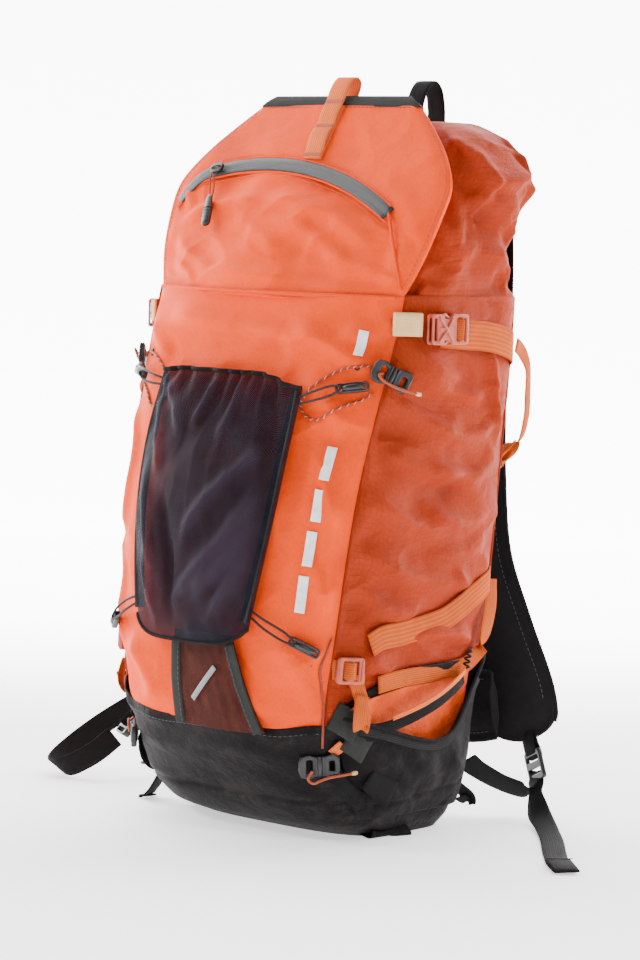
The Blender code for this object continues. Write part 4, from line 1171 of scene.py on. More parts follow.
LID_FOLDS = [
    ((-0.128, 0.066), (-0.030, 0.088), 0.008, 0.0044, 0.008),
    ((-0.040, 0.092), (0.100, 0.050), 0.008, 0.0038, 0.012),
    ((-0.125, 0.050), (-0.060, 0.022), 0.007, 0.0036, -0.004),
    ((-0.060, 0.070), (0.010, 0.040), 0.008, 0.0030, 0.004),
    ((0.010, 0.068), (0.085, 0.028), 0.008, 0.0032, 0.004),
    ((-0.120, 0.030), (-0.080, 0.010), 0.006, 0.0030, 0.0),
    ((-0.100, 0.016), (0.090, 0.012), 0.006, 0.0026, 0.003),
    ((0.050, 0.040), (0.125, 0.020), 0.007, 0.0028, 0.003),
    ((0.105, 0.110), (0.138, 0.060), 0.007, 0.0026, 0.003),
    ((0.080, 0.125), (0.120, 0.085), 0.007, 0.0024, 0.0),
    ((-0.140, 0.105), (-0.118, 0.080), 0.006, 0.0026, 0.0),
    ((-0.065, 0.160), (-0.040, 0.135), 0.007, 0.0018, 0.0),
    ((0.035, 0.175), (0.060, 0.145), 0.007, 0.0018, 0.0),
]


def draw_lid():
    a, b = grid_shares(190, 170)
    up = mix(-0.0005, 0.1885, b) + 0 * a
    half = along(LID_STATIONS, np.maximum(up, 0))[0]
    across = mix(-1, 1, a) * half
    out = folded(0.0, across, up, LID_FOLDS)
    zip_line = np.array([zip_up(v) for v in across.reshape(-1)]).reshape(across.shape)
    over = up - zip_line
    pocket = smooth(0.0, -0.03, over) * smooth(0.0, 0.02, up)  # the pocket under the zip is slack and full
    out = (
        out * 1.25 * (0.25 + 0.75 * smooth(0.012, -0.004, over))
        + 0.0030 * pocket * np.cos(across / 0.30 * math.pi)
        - 0.0012 * np.exp(-((over / 0.006) ** 2)) * (np.abs(across) < 0.14)
    )
    sunk = (
        smooth(0.005, 0.035, across) * smooth(0.128, 0.108, across) * smooth(0.006, 0.018, up)
        * smooth(0.004, -0.008, over)
    )
    out = out - 0.0042 * sunk  # room for the zip pull where it ends
    fade = edge_fade(a, b, 0.05, 0.0) * smooth(-0.03, 0.06, b)
    out = (out + 0.0016) * fade - 0.0016
    p = on_lid(across, up, out)
    face = np.broadcast_to(LID_FACE, p.shape)
    p, wave = crumpled(
        p, face * (fade * (0.3 + 0.7 * smooth(0.0, -0.02, over)))[..., None], 0.0050, 15, 5.0, (1, 1, 1.3)
    )
    shade = wave * 0.8 + out * 60
    link(
        grid("lid_fabric", p, thickness=0.0050, shade=shade), orange_cloth, "lid",
        "lid_flap"
    )
    # hem seam along the hinge
    reach = np.linspace(-0.130, 0.131, 60)
    link(
        tube(
            "lid_hem_piping", on_lid(reach, np.full(60, 0.0015), np.full(60, 0.0016)), 0.0016,
            smooth_points=False
        ),
        orange_cloth, "lid"
    )
    for side, label in SIDES:
        ups = np.linspace(0.008, 0.184, 60)
        inner = along(LID_STATIONS, ups)[0] - 0.0035
        line = on_lid(side * inner, ups, np.full(60, -0.0008))
        stitches(f"lid_stitch_{label}", line, "lid", rust_thread, radius=0.00036)
    # zip tape, its piped edges and their stitches
    reach = np.linspace(-0.1385, 0.1040, 60)
    tape = strap(
        "zip_tape", on_lid(reach, zip_up(reach), np.full(60, 0.0016)), LID_UP, 0.0125, 0.0014, pieces=1
    )
    link(tape, zip_coil, "lid", "lid_zip")
    for name, step in (("upper", 0.0072), ("lower", -0.0074)):
        link(
            tube(
                f"zip_{name}_edge", on_lid(reach, zip_up(reach) + step, np.full(60, 0.0009)), 0.0010,
                smooth_points=False
            ),
            orange_cloth, "lid"
        )
        stitches(
            f"zip_{name}_stitch", on_lid(reach, zip_up(reach) + step * 1.55, np.full(60, 0.0004)), "lid",
            orange_thread
        )
    piping = [(0.104, 0.0815), (0.112, 0.066), (0.120, 0.048), (0.128, 0.028), (0.1335, 0.010)]
    line = on_lid([u for u, _ in piping], [v for _, v in piping], [0.0012] * 5)
    link(tube("lid_corner_piping", line, 0.0014), orange_cloth, "lid")
    # stiff strip along the free edge
    a, b = grid_shares(60, 10)
    up = mix(0.1878, 0.1985, b) + 0 * a
    half = along(LID_STATIONS, up)[0] - 0.0030 * b
    strip = on_lid(mix(-1, 1, a) * half, up, 0.0010 * np.sin(b * math.pi) + 0 * a)
    link(grid("lid_edge_tape", strip, thickness=0.0058), grey_tape, "lid", "lid_edge_strip")
    edge = np.linspace(-0.1065, 0.1065, 50)
    stitches(
        "lid_edge_stitch", on_lid(edge * 0.78, np.full(50, 0.1868), np.full(50, 0.0006)), "lid", dark_thread
    )
    # chain of webbing up the middle
    steps = [
        (0.134, 0.0024), (0.142, 0.0026), (0.150, 0.0044), (0.158, 0.0048), (0.166, 0.0026),
        (0.174, 0.0040), (0.181, 0.0046), (0.190, 0.0040), (0.204, 0.0052), (0.214, 0.0032),
        (0.2175, -0.0020), (0.214, -0.0072), (0.204, -0.0092), (0.190, -0.0098)
    ]
    line = on_lid(np.zeros(len(steps)), [s[0] for s in steps], [s[1] for s in steps])
    link(
        strap("chain_webbing", line, (1, 0, 0), 0.0205, 0.0015, rough=0.0003), pale_web, "lid",
        "daisy_chain"
    )
    link(
        strap(
            "chain_lining", on_lid(np.zeros(5), [0.134, 0.148, 0.162, 0.176, 0.188], [0.0010] * 5),
            (1, 0, 0), 0.0200, 0.0010
        ),
        pale_web, "lid"
    )
    for k, (up, out) in enumerate(((0.1365, 0.0034), (0.1655, 0.0036), (0.1895, 0.0050))):
        rows = [
            on_lid([-0.0092, 0.0, 0.0092], [up + d] * 3, [out] * 3)
            for d in (-0.0012, -0.0004, 0.0004, 0.0012)
        ]
        link(tube(f"chain_bartack_{k}", rows, 0.00042, pieces=1), rust_thread, "lid")


def draw_slider():
    at = -0.1035
    place, ahead = on_lid(at, zip_up(at), 0.0050), on_lid(at + 0.004, zip_up(at + 0.004), 0.0050)
    run = (ahead - place) / np.linalg.norm(ahead - place)
    face = np.cross(run, LID_UP)
    face *= math.copysign(1, face.dot(LID_FACE)) / np.linalg.norm(face)
    where = placed(run, face, place)
    outline = [
        (-0.0065, -0.0030), (-0.0040, -0.0048), (0.0045, -0.0048), (0.0070, -0.0020), (0.0070, 0.0020),
        (0.0045, 0.0048), (-0.0040, 0.0048), (-0.0065, 0.0030)
    ]
    body = moulded("slider_body", [outline], 0.0030, where, 0.0008)
    x, _, z = frame_of(run, face)
    bridge = lathe(
        "slider_bridge",
        [
            place + x * d + z * h for d,
            h in ((-0.005, 0.001), (-0.0035, 0.0026), (0, 0.0032), (0.0035, 0.0026), (0.005, 0.001))
        ],
        [0.0009] * 5, up=z
    )
    link(join("zip_slider_body", body, bridge), black_plastic, "zip_slider", "zip_slider")
    # cord loop and grip
    slant = math.radians(24)
    pin = on_lid(at - 0.001, zip_up(at) - 0.0075, 0.0050)
    down = np.array([math.sin(slant), 0, 0]) - LID_UP * math.cos(slant)
    sideways = np.cross(down, LID_FACE)
    grip = [
        (0.0245, 0.0014), (0.0262, 0.0026), (0.030, 0.0031), (0.036, 0.0036), (0.046, 0.0042),
        (0.054, 0.0043), (0.0575, 0.0038), (0.0590, 0.0022), (0.0593, 0.0004)
    ]
    lift = LID_FACE * 0.0060
    obj = lathe(
        "pull_grip", [pin + down * d + lift * (d / 0.0585) for d, _ in grip], [r for _, r in grip], 0.75,
        LID_FACE
    )
    link(obj, black_plastic, "zip_pull", "zip_pull")
    rings = [
        [
            pin + down * d + lift * (d / 0.0585) + sideways * (
                0.0042 * math.cos(t)
            ) + LID_FACE * (0.0032 * math.sin(t))
            for t in np.linspace(0, 2 * math.pi, 17)
        ]
        for d in (0.040, 0.0435, 0.047, 0.0505)
    ]
    link(
        tube("pull_grip_ribs", [np.array(r) for r in rings], 0.00035, smooth_points=False), black_plastic,
        "zip_pull"
    )
    loop = [
        pin + down * d + sideways * s + LID_FACE * h for d, s,
        h in (
            (0.027, 0.0006, 0.001), (0.020, 0.0016, 0.0006), (0.010, 0.0021, 0.0006),
            (0.002, 0.0016, 0.0012), (-0.0015, 0.0, 0.0016), (0.002, -0.0016, 0.0012),
            (0.010, -0.0021, 0.0006), (0.020, -0.0016, 0.0006), (0.027, -0.0006, 0.001)
        )
    ]
    line = route(loop, 4)
    lash_cord(
        "pull_loop", line, "zip_pull", braid("pull_braid", (0.30, 0.055, 0.03), length_of(line)), 0.0013,
    )


def draw_haul_loop():
    points = [
        (0, 0.1146, 0.4990), (0, 0.1148, 0.5200), (0, 0.1195, 0.5600), (0, 0.1262, 0.5980),
        (0, 0.1350, 0.6250), (0, 0.1465, 0.6350), (0, 0.1575, 0.6250), (0, 0.1610, 0.5980),
        (0, 0.1540, 0.5680), (0, 0.1340, 0.5320), (0, 0.1188, 0.5040)
    ]
    link(
        strap("haul_webbing", points, (1, 0, 0), 0.0200, 0.0017), black_web, "haul_loop",
        "haul_loop"
    )


# ---------------------------------------------------------------- buckles, straps and tabs
def draw_side_buckle(side, label):
    place = on_side(-0.0150, 0.4265, 0.0088, side)
    run = on_side(-0.0030, 0.4265, 0.0088, side) - place
    face = np.array([run[1], -run[0], 0]) * side
    run, up, face = frame_of(run, face)
    where = placed(run, face, place)

    def at(x, y, z):
        return place + run * x + up * y + face * z

    outer = [
        (-0.0148, -0.0112), (-0.0125, -0.0125), (-0.0060, -0.0125), (-0.0030, -0.0112), (-0.0012, -0.0086),
        (0.0034, -0.0086), (0.0060, -0.0106), (0.0074, -0.0112)
    ]
    outline = outer + [(x, -y) for x, y in reversed(outer)]
    slot = rounded(0.0034, 0.0185, 0.0012, (-0.0115, 0))
    upper = moulded("socket_top", [outline, slot], 0.0024, where @ Matrix.Translation((0, 0, 0.0030)), 0.0008)
    lower = moulded(
        "socket_under", [outline, slot], 0.0022, where @ Matrix.Translation((0, 0, -0.0030)), 0.0008
    )
    rails = [
        moulded("rail", [rounded(0.0080, 0.0030, 0.001, (-0.0085, s * 0.0108))], 0.0078, where, 0.0008)
        for s in (-1, 1)
    ]
    spine = moulded(
        "spine", [rounded(0.0150, 0.0040, 0.0012, (-0.0005, 0))], 0.0030,
        where @ Matrix.Translation((0, 0, 0.0036)), 0.0007
    )
    ribs = [
        lathe(
            "rib", [at(-0.0085, -0.0100 * s, 0.0046), at(0.0, 0, 0.0050), at(0.0068, 0.0096 * s, 0.0046)],
            [0.0010, 0.0012, 0.0010], up=face
        )
        for s in (-1, 1)
    ]
    link(
        join(f"buckle_socket_body_{label}", upper, lower, spine, *rails, *ribs), rust_plastic, "bag",
        f"buckle_socket_{label}"
    )
    body = f"buckle_plug_{label}"
    slots = [rounded(0.0034, 0.0190, 0.0012, (x, 0)) for x in (0.0160, 0.0228)]
    base = moulded("plug_base", [rounded(0.0195, 0.0250, 0.0028, (0.0178, 0)), *slots], 0.0042, where, 0.0010)
    bar = lathe("plug_bar", [at(0.0194, y, 0.0022) for y in (-0.0098, 0, 0.0098)], [0.0013] * 3, up=face)
    arms = [
        lathe(
            "arm",
            [
                at(0.0095, 0.0080 * s, 0), at(0.0050, 0.0090 * s, 0), at(0.0015, 0.0112 * s, 0),
                at(-0.0015, 0.0108 * s, 0), at(-0.0055, 0.0066 * s, 0)
            ],
            [0.0019, 0.0017, 0.0018, 0.0016, 0.0010], 0.9, face
        )
        for s in (-1, 1)
    ]
    tongue = moulded("tongue", [rounded(0.0160, 0.0050, 0.0015, (0.0010, 0))], 0.0030, where, 0.0008)
    link(
        join(f"buckle_plug_body_{label}", base, bar, tongue, *arms), rust_plastic, body,
        body
    )
    # the strap threads the plug and runs back under it
    hold = strap(
        f"plug_webbing_{label}",
        [
            at(0.0300, 0, -0.0042), at(0.0240, 0, -0.0030), at(0.0205, 0, 0.0012), at(0.0190, 0, 0.0046),
            at(0.0170, 0, 0.0020), at(0.0140, 0, -0.0032), at(0.0100, 0, -0.0052)
        ],
        up, 0.0180, 0.0013
    )
    link(hold, orange_web, body)


def draw_side_straps(side, label):
    upper = [
        (-0.010, 0.4238), (-0.004, 0.4230), (0.020, 0.4215), (0.040, 0.4205), (0.060, 0.4180),
        (0.078, 0.4140), (0.090, 0.4100), (0.1000, 0.4068)
    ]
    lift = [0.0020, 0.0024, 0.0024, 0.0028, 0.0024, 0.0022, 0.0022, 0.0014]
    points = [on_side(y, z, o, side) for (y, z), o in zip(upper, lift)]
    link(
        strap(f"upper_webbing_{label}", points, (0, 0, 1), 0.0250, 0.0016, rough=0.0004), wide_web, "bag",
        f"upper_strap_{label}"
    )
    # spare end, folded back along the strap and hanging behind the seam
    tail = [on_side(0.0930, 0.4120, 0.0050, side)] + [
        np.array([side * x, y, z]) for x, y,
        z in (
            (0.1420, 0.1120, 0.4050), (0.1390, 0.1240, 0.3920), (0.1350, 0.1300, 0.3700),
            (0.1320, 0.1330, 0.3480), (0.1280, 0.1310, 0.3300), (0.1240, 0.1210, 0.3210),
            (0.1240, 0.1120, 0.3150)
        )
    ]
    sides = [
        (0, 0.15, 1), (0, 0.3, 1), (side * -0.3, 0.8, 0.5), (side * -0.3, 0.9, 0.1), (side * -0.3, 0.9, 0),
        (side * -0.3, 0.8, 0.2), (side * -0.2, 0.4, 0.8), (0, 0.2, 1)
    ]
    link(
        strap(f"upper_tail_{label}", tail, np.array(sides), 0.0130, 0.0014, rough=0.0006), orange_web,
        "bag"
    )
    end = np.array([side * 0.1240, 0.1140, 0.3165])
    keeper = [
        end + np.array([0, dy, dz]) for dy,
        dz in (
            (0.012, 0.010), (0.002, 0.002), (-0.008, -0.004), (-0.010, -0.010), (-0.002, -0.008),
            (0.008, 0.000)
        )
    ]
    link(
        strap(f"upper_tail_fold_{label}", keeper, (side * 0.5, 0.4, 0.8), 0.0135, 0.0018), orange_web,
        "bag"
    )
    lower = [
        (-0.0640, 0.1690), (-0.0500, 0.1745), (-0.0300, 0.1760), (0.0000, 0.1795), (0.0250, 0.1840),
        (0.0450, 0.1925), (0.0690, 0.2040), (0.0860, 0.2105), (0.0985, 0.2140)
    ]
    points = [
        on_side(y, z, o, side) for (y, z),
        o in zip(lower, [0.0046, 0.0030, 0.0026, 0.0026, 0.0026, 0.0030, 0.0026, 0.0024, 0.0016])
    ]
    link(
        strap(f"lower_webbing_{label}", points, (0, 0, 1), 0.0205, 0.0016, rough=0.0004), wide_web, "bag",
        f"lower_strap_{label}"
    )
    # the same strap's return, from the back seam down to the pocket
    back = [
        (129.0, 0.2120, 0.0022), (124.0, 0.1900, 0.0050), (118.0, 0.1680, 0.0056), (113.0, 0.1510, 0.0040),
        (104.0, 0.1430, 0.0036), (96.0, 0.1395, 0.0040), (89.0, 0.1380, 0.0050), (80.0, 0.1350, 0.0062)
    ]
    points = [on_shell(side * t, z, o) for t, z, o in back]
    sides = [
        (0, 0.5, 0.5), (0, 0.75, 0.4), (0, 0.7, 0.5), (0, 0.35, 0.9), (0, 0.1, 1), (0, 0, 1), (0, 0, 1),
        (0, 0, 1)
    ]
    link(
        strap(f"return_webbing_{label}", points, np.array(sides), 0.0150, 0.0015, rough=0.0005), orange_web,
        "bag"
    )
    # folded tab that holds the buckle
    steps = (
        (53.5, 0.0026), (54.5, 0.0036), (57.5, 0.0040), (60.5, 0.0044), (63.5, 0.0052), (66.5, 0.0066),
        (67.4, 0.0086)
    )
    points = [on_shell(side * t, 0.4300, o) for t, o in steps]
    link(
        strap(f"tab_webbing_{label}", points, (0, 0, 1), 0.0195, 0.0026), cream_web, "bag",
        f"strap_tab_{label}"
    )
    for k, t in enumerate((55.2, 61.5)):
        seam = np.array([on_shell(side * t, z, 0.0056 + 0.0010 * k) for z in np.linspace(0.4215, 0.4385, 8)])
        stitches(f"tab_stitch_{k}_{label}", seam, "bag", cream_thread, 0.0022, 0.0012, 0.00028)


def draw_strap_adjuster(side, label):
    angle, z = 65.5, 0.1490
    face = outward(side * angle, z)
    level = np.array([-face[1], face[0], 0]) * side
    a = math.radians(-4)
    run, up, face = frame_of(level * math.cos(a) + np.array([0, 0, 1]) * math.sin(a), face)
    place = on_shell(side * angle, z, 0.0062)
    where = placed(run, face, place)

    def at(x, y, h):
        return place + run * x + up * y * side + face * h

    slots = [rounded(0.0042, 0.0158, 0.0010, (s * 0.0052, 0)) for s in (-1, 1)]
    body = moulded("lock", [rounded(0.0250, 0.0220, 0.0035), *slots], 0.0040, where, 0.0010)
    bars = [
        lathe("bar", [at(x, y, 0.0020) for y in (-0.0082, 0, 0.0082)], [0.0013] * 3, up=face)
        for x in (0.0, 0.0105, -0.0105)
    ]
    link(
        join(f"strap_adjuster_body_{label}", body, *bars), rust_plastic, f"strap_adjuster_{label}",
        f"strap_adjuster_{label}"
    )
    thread = [
        at(0.0130, 0, -0.0040), at(0.0078, 0, -0.0030), at(0.0040, 0, 0.0016), at(0.0000, 0, 0.0044),
        at(-0.0040, 0, 0.0010), at(-0.0062, 0, -0.0030)
    ]
    link(
        strap(f"adjuster_webbing_{label}", thread, up, 0.0150, 0.0014), orange_web,
        f"strap_adjuster_{label}"
    )
    # anchor on the front seam, and the spare end in folds below
    anchor = [
        on_shell(side * t, 0.1500, o) for t,
        o in ((57.5, 0.0018), (58.6, 0.0024), (59.8, 0.0026), (61.0, 0.0024))
    ]
    link(
        strap(f"adjuster_anchor_{label}", anchor, (0, 0, 1), 0.0165, 0.0016), orange_web, "bag",
    )
    tail = [
        on_shell(side * t, zz, o) for t, zz,
        o in (
            (67.5, 0.1440, 0.0040), (69.0, 0.1370, 0.0090), (70.5, 0.1260, 0.0125), (71.5, 0.1130, 0.0150),
            (71.0, 0.1040, 0.0165), (69.5, 0.1020, 0.0180), (68.5, 0.1080, 0.0195), (69.0, 0.1180, 0.0185),
            (70.2, 0.1290, 0.0150)
        )
    ]
    sideways = np.array([-face[1], face[0], 0]) * side
    link(
        strap(f"adjuster_tail_{label}", tail, sideways, 0.0130, 0.0014, rough=0.0006), orange_web, "bag",
    )
    keeper = [
        on_shell(side * t, 0.1415, o) for t,
        o in ((67.0, 0.0030), (68.5, 0.0074), (70.5, 0.0086), (72.5, 0.0070), (73.5, 0.0026))
    ]
    link(
        strap(f"adjuster_keeper_{label}", keeper, (0, 0, 1), 0.0085, 0.0016), orange_web, "bag",
    )


# ---------------------------------------------------------------- net and its hooks
def net_point(a, b, out=0.0):
    """A point of the net's cloth: a runs across it and b up it."""
    a, b = np.broadcast_arrays(np.asarray(a, float), np.asarray(b, float))
    half = mix(0.0625, 0.0785, b) + 0.006 * np.sin(b * math.pi)
    x = mix(-half, half, a)
    top = 0.3850 - 0.0100 * smooth(0.72, 1.0, a) - 0.0030 * smooth(0.20, 0.0, a)
    foot = 0.1655 + 0.0150 * np.abs(2 * a - 1) ** 5
    z = mix(foot, top, b)
    bulge = np.sin(a * math.pi) ** 0.6 * (0.35 + 0.65 * np.sin(b * math.pi))
    return (
        np.stack([x, front_y(x, z) - 0.008 - 0.024 * bulge, z], -1)
        + np.array([0, -1, 0]) * np.asarray(out)[..., None]
    )


NET_FOLDS = [
    ((0.070, 0.300), (-0.020, 0.190), 0.008, 0.0050, 0.010),
    ((0.075, 0.335), (0.000, 0.240), 0.007, 0.0044, -0.008),
    ((0.068, 0.270), (0.015, 0.205), 0.006, 0.0044, 0.006),
    ((0.066, 0.250), (0.030, 0.185), 0.006, 0.0040, 0.003),
    ((-0.030, 0.290), (-0.012, 0.180), 0.007, -0.0044, 0.006),
    ((-0.060, 0.300), (-0.035, 0.215), 0.007, 0.0040, 0.004),
    ((-0.072, 0.380), (-0.020, 0.330), 0.007, 0.0046, 0.006),
    ((-0.070, 0.360), (-0.040, 0.300), 0.007, 0.0036, 0.003),
    ((0.000, 0.382), (-0.012, 0.340), 0.005, 0.0044, 0.0),
    ((0.030, 0.384), (0.020, 0.330), 0.006, 0.0034, 0.0),
    ((0.055, 0.378), (0.070, 0.320), 0.006, -0.0034, 0.0),
    ((-0.050, 0.240), (-0.030, 0.180), 0.006, 0.0032, 0.0),
]


def draw_net():
    a, b = grid_shares(130, 150)
    flat = net_point(a, b)
    x, z = flat[..., 0], flat[..., 2]
    out = folded(0.0, x, z, NET_FOLDS)
    out += 0.0018 * np.sin(a * 62 + 3 * np.sin(a * 9)) * smooth(0.80, 1.0, b) * np.sin(a * math.pi) ** 0.3
    fade = edge_fade(a, b, 0.05, 0.0) * smooth(0.0, 0.05, b)
    p, wave = crumpled(
        flat + np.array([0, -1, 0]) * (out * 1.5 * fade)[..., None], np.array([0, -1, 0]) * fade[..., None],
        0.0026, 30, 91.0, (1, 1, 0.7)
    )
    # the fold heights, scaled up, drive the net's painted highlights
    net = link(grid("net_cloth", p, shade=wave * 0.5 + out * 190), net_cloth, "bag", "helmet_net")
    binding = p[-1] + np.array([0, -0.0004, 0.0010])
    top = link(tube("net_top_binding", binding, 0.0019, smooth_points=False), charcoal_cloth, "bag")
    foot = link(
        tube("net_foot_binding", p[0] + np.array([0, -0.0003, 0.0]), 0.0015, smooth_points=False),
        charcoal_cloth, "bag"
    )
    for name, column, inside in (("right", -1, -0.0062), ("left", 0, 0.0045)):
        edge = p[4:, column] + np.array([inside, -0.0022, 0])
        width = 0.0125 if name == "right" else 0.0090
        step = np.stack(
            [
                np.full(len(edge), 1.0), -np.full(len(edge), 0.42 if name == "right" else -0.42),
                np.zeros(len(edge))
            ],
            1
        )
        tape = strap(
            f"net_trim_{name}", edge[::6], step[::6], width, 0.0012, pieces=3, taper=lambda t: 0.62
            + 0.38 * smooth(0.99, 0.75, t)
        )
        link(tape, grey_tape, "bag")
        line = edge[::4] + np.array([math.copysign(0.0045, inside), -0.0011, 0])
        stitches(f"net_trim_stitch_{name}", line, "bag", dark_thread)


def draw_hooks():
    for side, label in SIDES:
        for level, (x, z, spin) in (("upper", (0.1150, 0.3765, 8.0)), ("lower", (0.1020, 0.1690, -25.0))):
            face = front_face(side * x, z)
            face = face / np.linalg.norm(face)
            place = on_front(side * x, z, 0.0075)
            level_way = np.cross([0, 0, 1], face)
            level_way = level_way / np.linalg.norm(level_way)
            level_way = level_way * math.copysign(1, level_way[0] * side)
            up = np.array([0, 0, 1.0]) - face * face[2]
            up /= np.linalg.norm(up)
            s = math.radians(spin)
            run = level_way * math.cos(s) + up * math.sin(s)
            where = placed(run, face, place)
            _, _, face = frame_of(run, face)
            body = moulded(
                "hook",
                [
                    rounded(0.0280, 0.0085, 0.0030), rounded(0.0036, 0.0052, 0.0012, (-0.0098, 0)),
                    rounded(0.0040, 0.0044, 0.0012, (0.0098, 0))
                ],
                0.0050, where, 0.0012
            )
            ridge = lathe(
                "ridge",
                [
                    place + run * d + face * h for d,
                    h in ((-0.008, 0.0016), (-0.002, 0.0030), (0.006, 0.0026), (0.011, 0.0010))
                ],
                [0.0016, 0.0024, 0.0022, 0.0012], 0.7, face
            )
            link(
                join(f"net_hook_body_{level}_{label}", body, ridge), black_plastic, "bag",
                f"net_hook_{level}_{label}"
            )
            start = net_point(1.0 if side > 0 else 0.0, 0.955 if level == "upper" else 0.06)
            hole = place - run * 0.0098
            gap = 0.0030
            steps = [
                start + up * 0.0026, mix(start, hole, 0.30) + up * gap + face * 0.0045,
                mix(start, hole, 0.75) + up * (gap + 0.0008) + face * 0.0040,
                hole + up * 0.0016 + face * 0.0032, hole + run * 0.0004 + face * 0.0038,
                hole - up * 0.0016 + face * 0.0032,
                mix(start, hole, 0.75) - up * (gap + 0.0012) + face * 0.0038,
                mix(start, hole, 0.30) - up * (gap + 0.0014) + face * 0.0042, start - up * 0.0030
            ]
            line = route(steps, 4)
            rope = lash_cord(f"net_elastic_{level}_{label}", line, "bag", elastic_black, 0.0021)
    # eyelets beside the keepers
    for side, label in SIDES:
        for name, t, z in (("upper", 40.5, 0.3950), ("lower", 45.5, 0.1545)):
            ring = [
                on_shell(side * (t + 1.15 * math.cos(k)), z + 0.0026 * math.sin(k), 0.0019)
                for k in np.linspace(0, 2 * math.pi, 25)
            ]
            link(
                tube(f"eyelet_{name}_{label}", np.array(ring), 0.0009, smooth_points=False), black_plastic,
                "bag"
            )


def draw_keepers():
    for side, label in SIDES:
        for level, (t, z, spin) in (("upper", (58.5, 0.3880, -24.0)), ("lower", (49.5, 0.0690, 4.0))):
            face = outward(side * t, z)
            level_way = np.array([-face[1], face[0], 0]) * side
            s = math.radians(spin)
            run = level_way * math.cos(s) + np.array([0, 0, 1]) * math.sin(s)
            place = on_shell(side * t, z, 0.0052)
            where = placed(run, face, place)
            run, across, face = frame_of(run, face)
            outline = [
                (-0.0170, -0.0040), (-0.0150, -0.0088), (-0.0080, -0.0098), (-0.0030, -0.0080),
                (0.0050, -0.0082), (0.0120, -0.0098), (0.0168, -0.0070), (0.0170, 0.0070), (0.0120, 0.0098),
                (0.0050, 0.0082), (-0.0030, 0.0080), (-0.0080, 0.0098), (-0.0150, 0.0088), (-0.0170, 0.0040)
            ]
            plate = moulded(
                "keeper",
                [
                    outline, rounded(0.0050, 0.0110, 0.0016, (-0.0080, 0)),
                    rounded(0.0044, 0.0080, 0.0014, (0.0105, 0))
                ],
                0.0046, where, 0.0012
            )
            cam = [
                lathe(
                    "cam", [place + run * d + across * w + face * 0.0024 for w in (-0.0074, 0, 0.0074)],
                    [0.0012] * 3, up=face
                )
                for d in (-0.0026, 0.0004, 0.0034)
            ]
            hump = lathe(
                "hump",
                [
                    place + run * 0.0004 + across * w + face * 0.0010
                    for w in (-0.0080, -0.0040, 0, 0.0040, 0.0080)
                ],
                [0.0022, 0.0028, 0.0030, 0.0028, 0.0022], up=face
            )
            link(
                join(f"tool_keeper_body_{level}_{label}", plate, hump, *cam), black_plastic, "bag",
                f"tool_keeper_{level}_{label}"
            )
            if level == "upper":
                ways = [
                    (-0.0080, -0.0010, 0.0040), (-0.0110, -0.0030, 0.0056), (-0.0060, -0.0060, 0.0068),
                    (0.0060, -0.0066, 0.0070), (0.0180, -0.0052, 0.0056), (0.0280, -0.0030, 0.0030)
                ]
            else:
                ways = [
                    (-0.0060, -0.0030, 0.0044), (-0.0100, -0.0090, 0.0048), (-0.0060, -0.0130, 0.0050),
                    (0.0000, -0.0110, 0.0056), (0.0080, -0.0090, 0.0048), (0.0200, -0.0080, 0.0030),
                    (0.0310, -0.0070, 0.0012)
                ]
            line = route([place + run * a + across * b + face * c for a, b, c in ways], 4)
            lash_cord(
                f"keeper_pull_{level}_{label}", line, "bag",
                braid(f"keeper_braid_{level}_{label}", (0.46, 0.085, 0.035), length_of(line)), 0.0024,
            )
            tip = lathe(
                f"keeper_tip_{level}_{label}", [line[-3], line[-2], line[-1]], [0.0015, 0.0018, 0.0013]
            )
            link(tip, cream_thread, "bag")


# ---------------------------------------------------------------- tongue below the net
def draw_tongue():
    a, b = grid_shares(50, 60)
    low, high = mix(-0.0180, 0.0720, a), mix(-0.0190, 0.0440, a)
    x, z = mix(low, high, b), mix(0.0960, 0.1720, b) + 0 * a
    bow = 0.0024 * np.sin(a * math.pi) + 0 * b
    p, _ = crumpled(
        on_front(x, z, 0.0046 + bow), front_face(x, z) * edge_fade(a, b, 0.1, 0.0)[..., None], 0.0012, 30,
        15.0
    )
    link(grid("tongue_cloth", p, thickness=0.0006, offset=0), tongue_net, "bag")
    for name, column, width in (("left", 3, 0.0105), ("right", -4, 0.0110)):
        edge = p[:, column] + front_face(p[:, column, 0], p[:, column, 2]) * 0.0014
        link(
            strap(f"tongue_tape_{name}", edge[::6], (1, 0, 0.2), width, 0.0011, pieces=3), grey_tape, "bag",
        )
        stitches(
            f"tongue_stitch_{name}", edge[::5] + np.array([math.copysign(0.0032, column), -0.0012, 0]),
            "bag", dark_thread
        )
    # a plain reflective bar
    bar = [on_front(mix(0.006, 0.030, t), mix(0.118, 0.146, t), 0.0082) for t in (0, 0.33, 0.66, 1)]
    link(strap("tongue_bar", bar, (0.8, 0, -0.6), 0.0050, 0.0005), reflective, "bag")


def draw_print():
    """Plain pale bars printed down the front, beside the net."""
    for k, (t, low, high) in enumerate(
        (
            (37.0, 0.196, 0.226), (37.6, 0.234, 0.262), (38.2, 0.270, 0.296), (38.8, 0.304, 0.330),
            (39.4, 0.404, 0.424)
        )
    ):
        zs = np.linspace(low, high, 14)
        flat, faces = on_shell(np.full(14, t), zs, np.zeros(14)), outward(np.full(14, t), zs)
        line = eased(resting(flat, faces, ("front_fabric",), 0.0014), 10)
        link(
            strap(f"print_bar_{k}", line, np.cross([0, 0, 1], faces), 0.0085, 0.0006, pieces=2),
            white_print, "bag"
        )


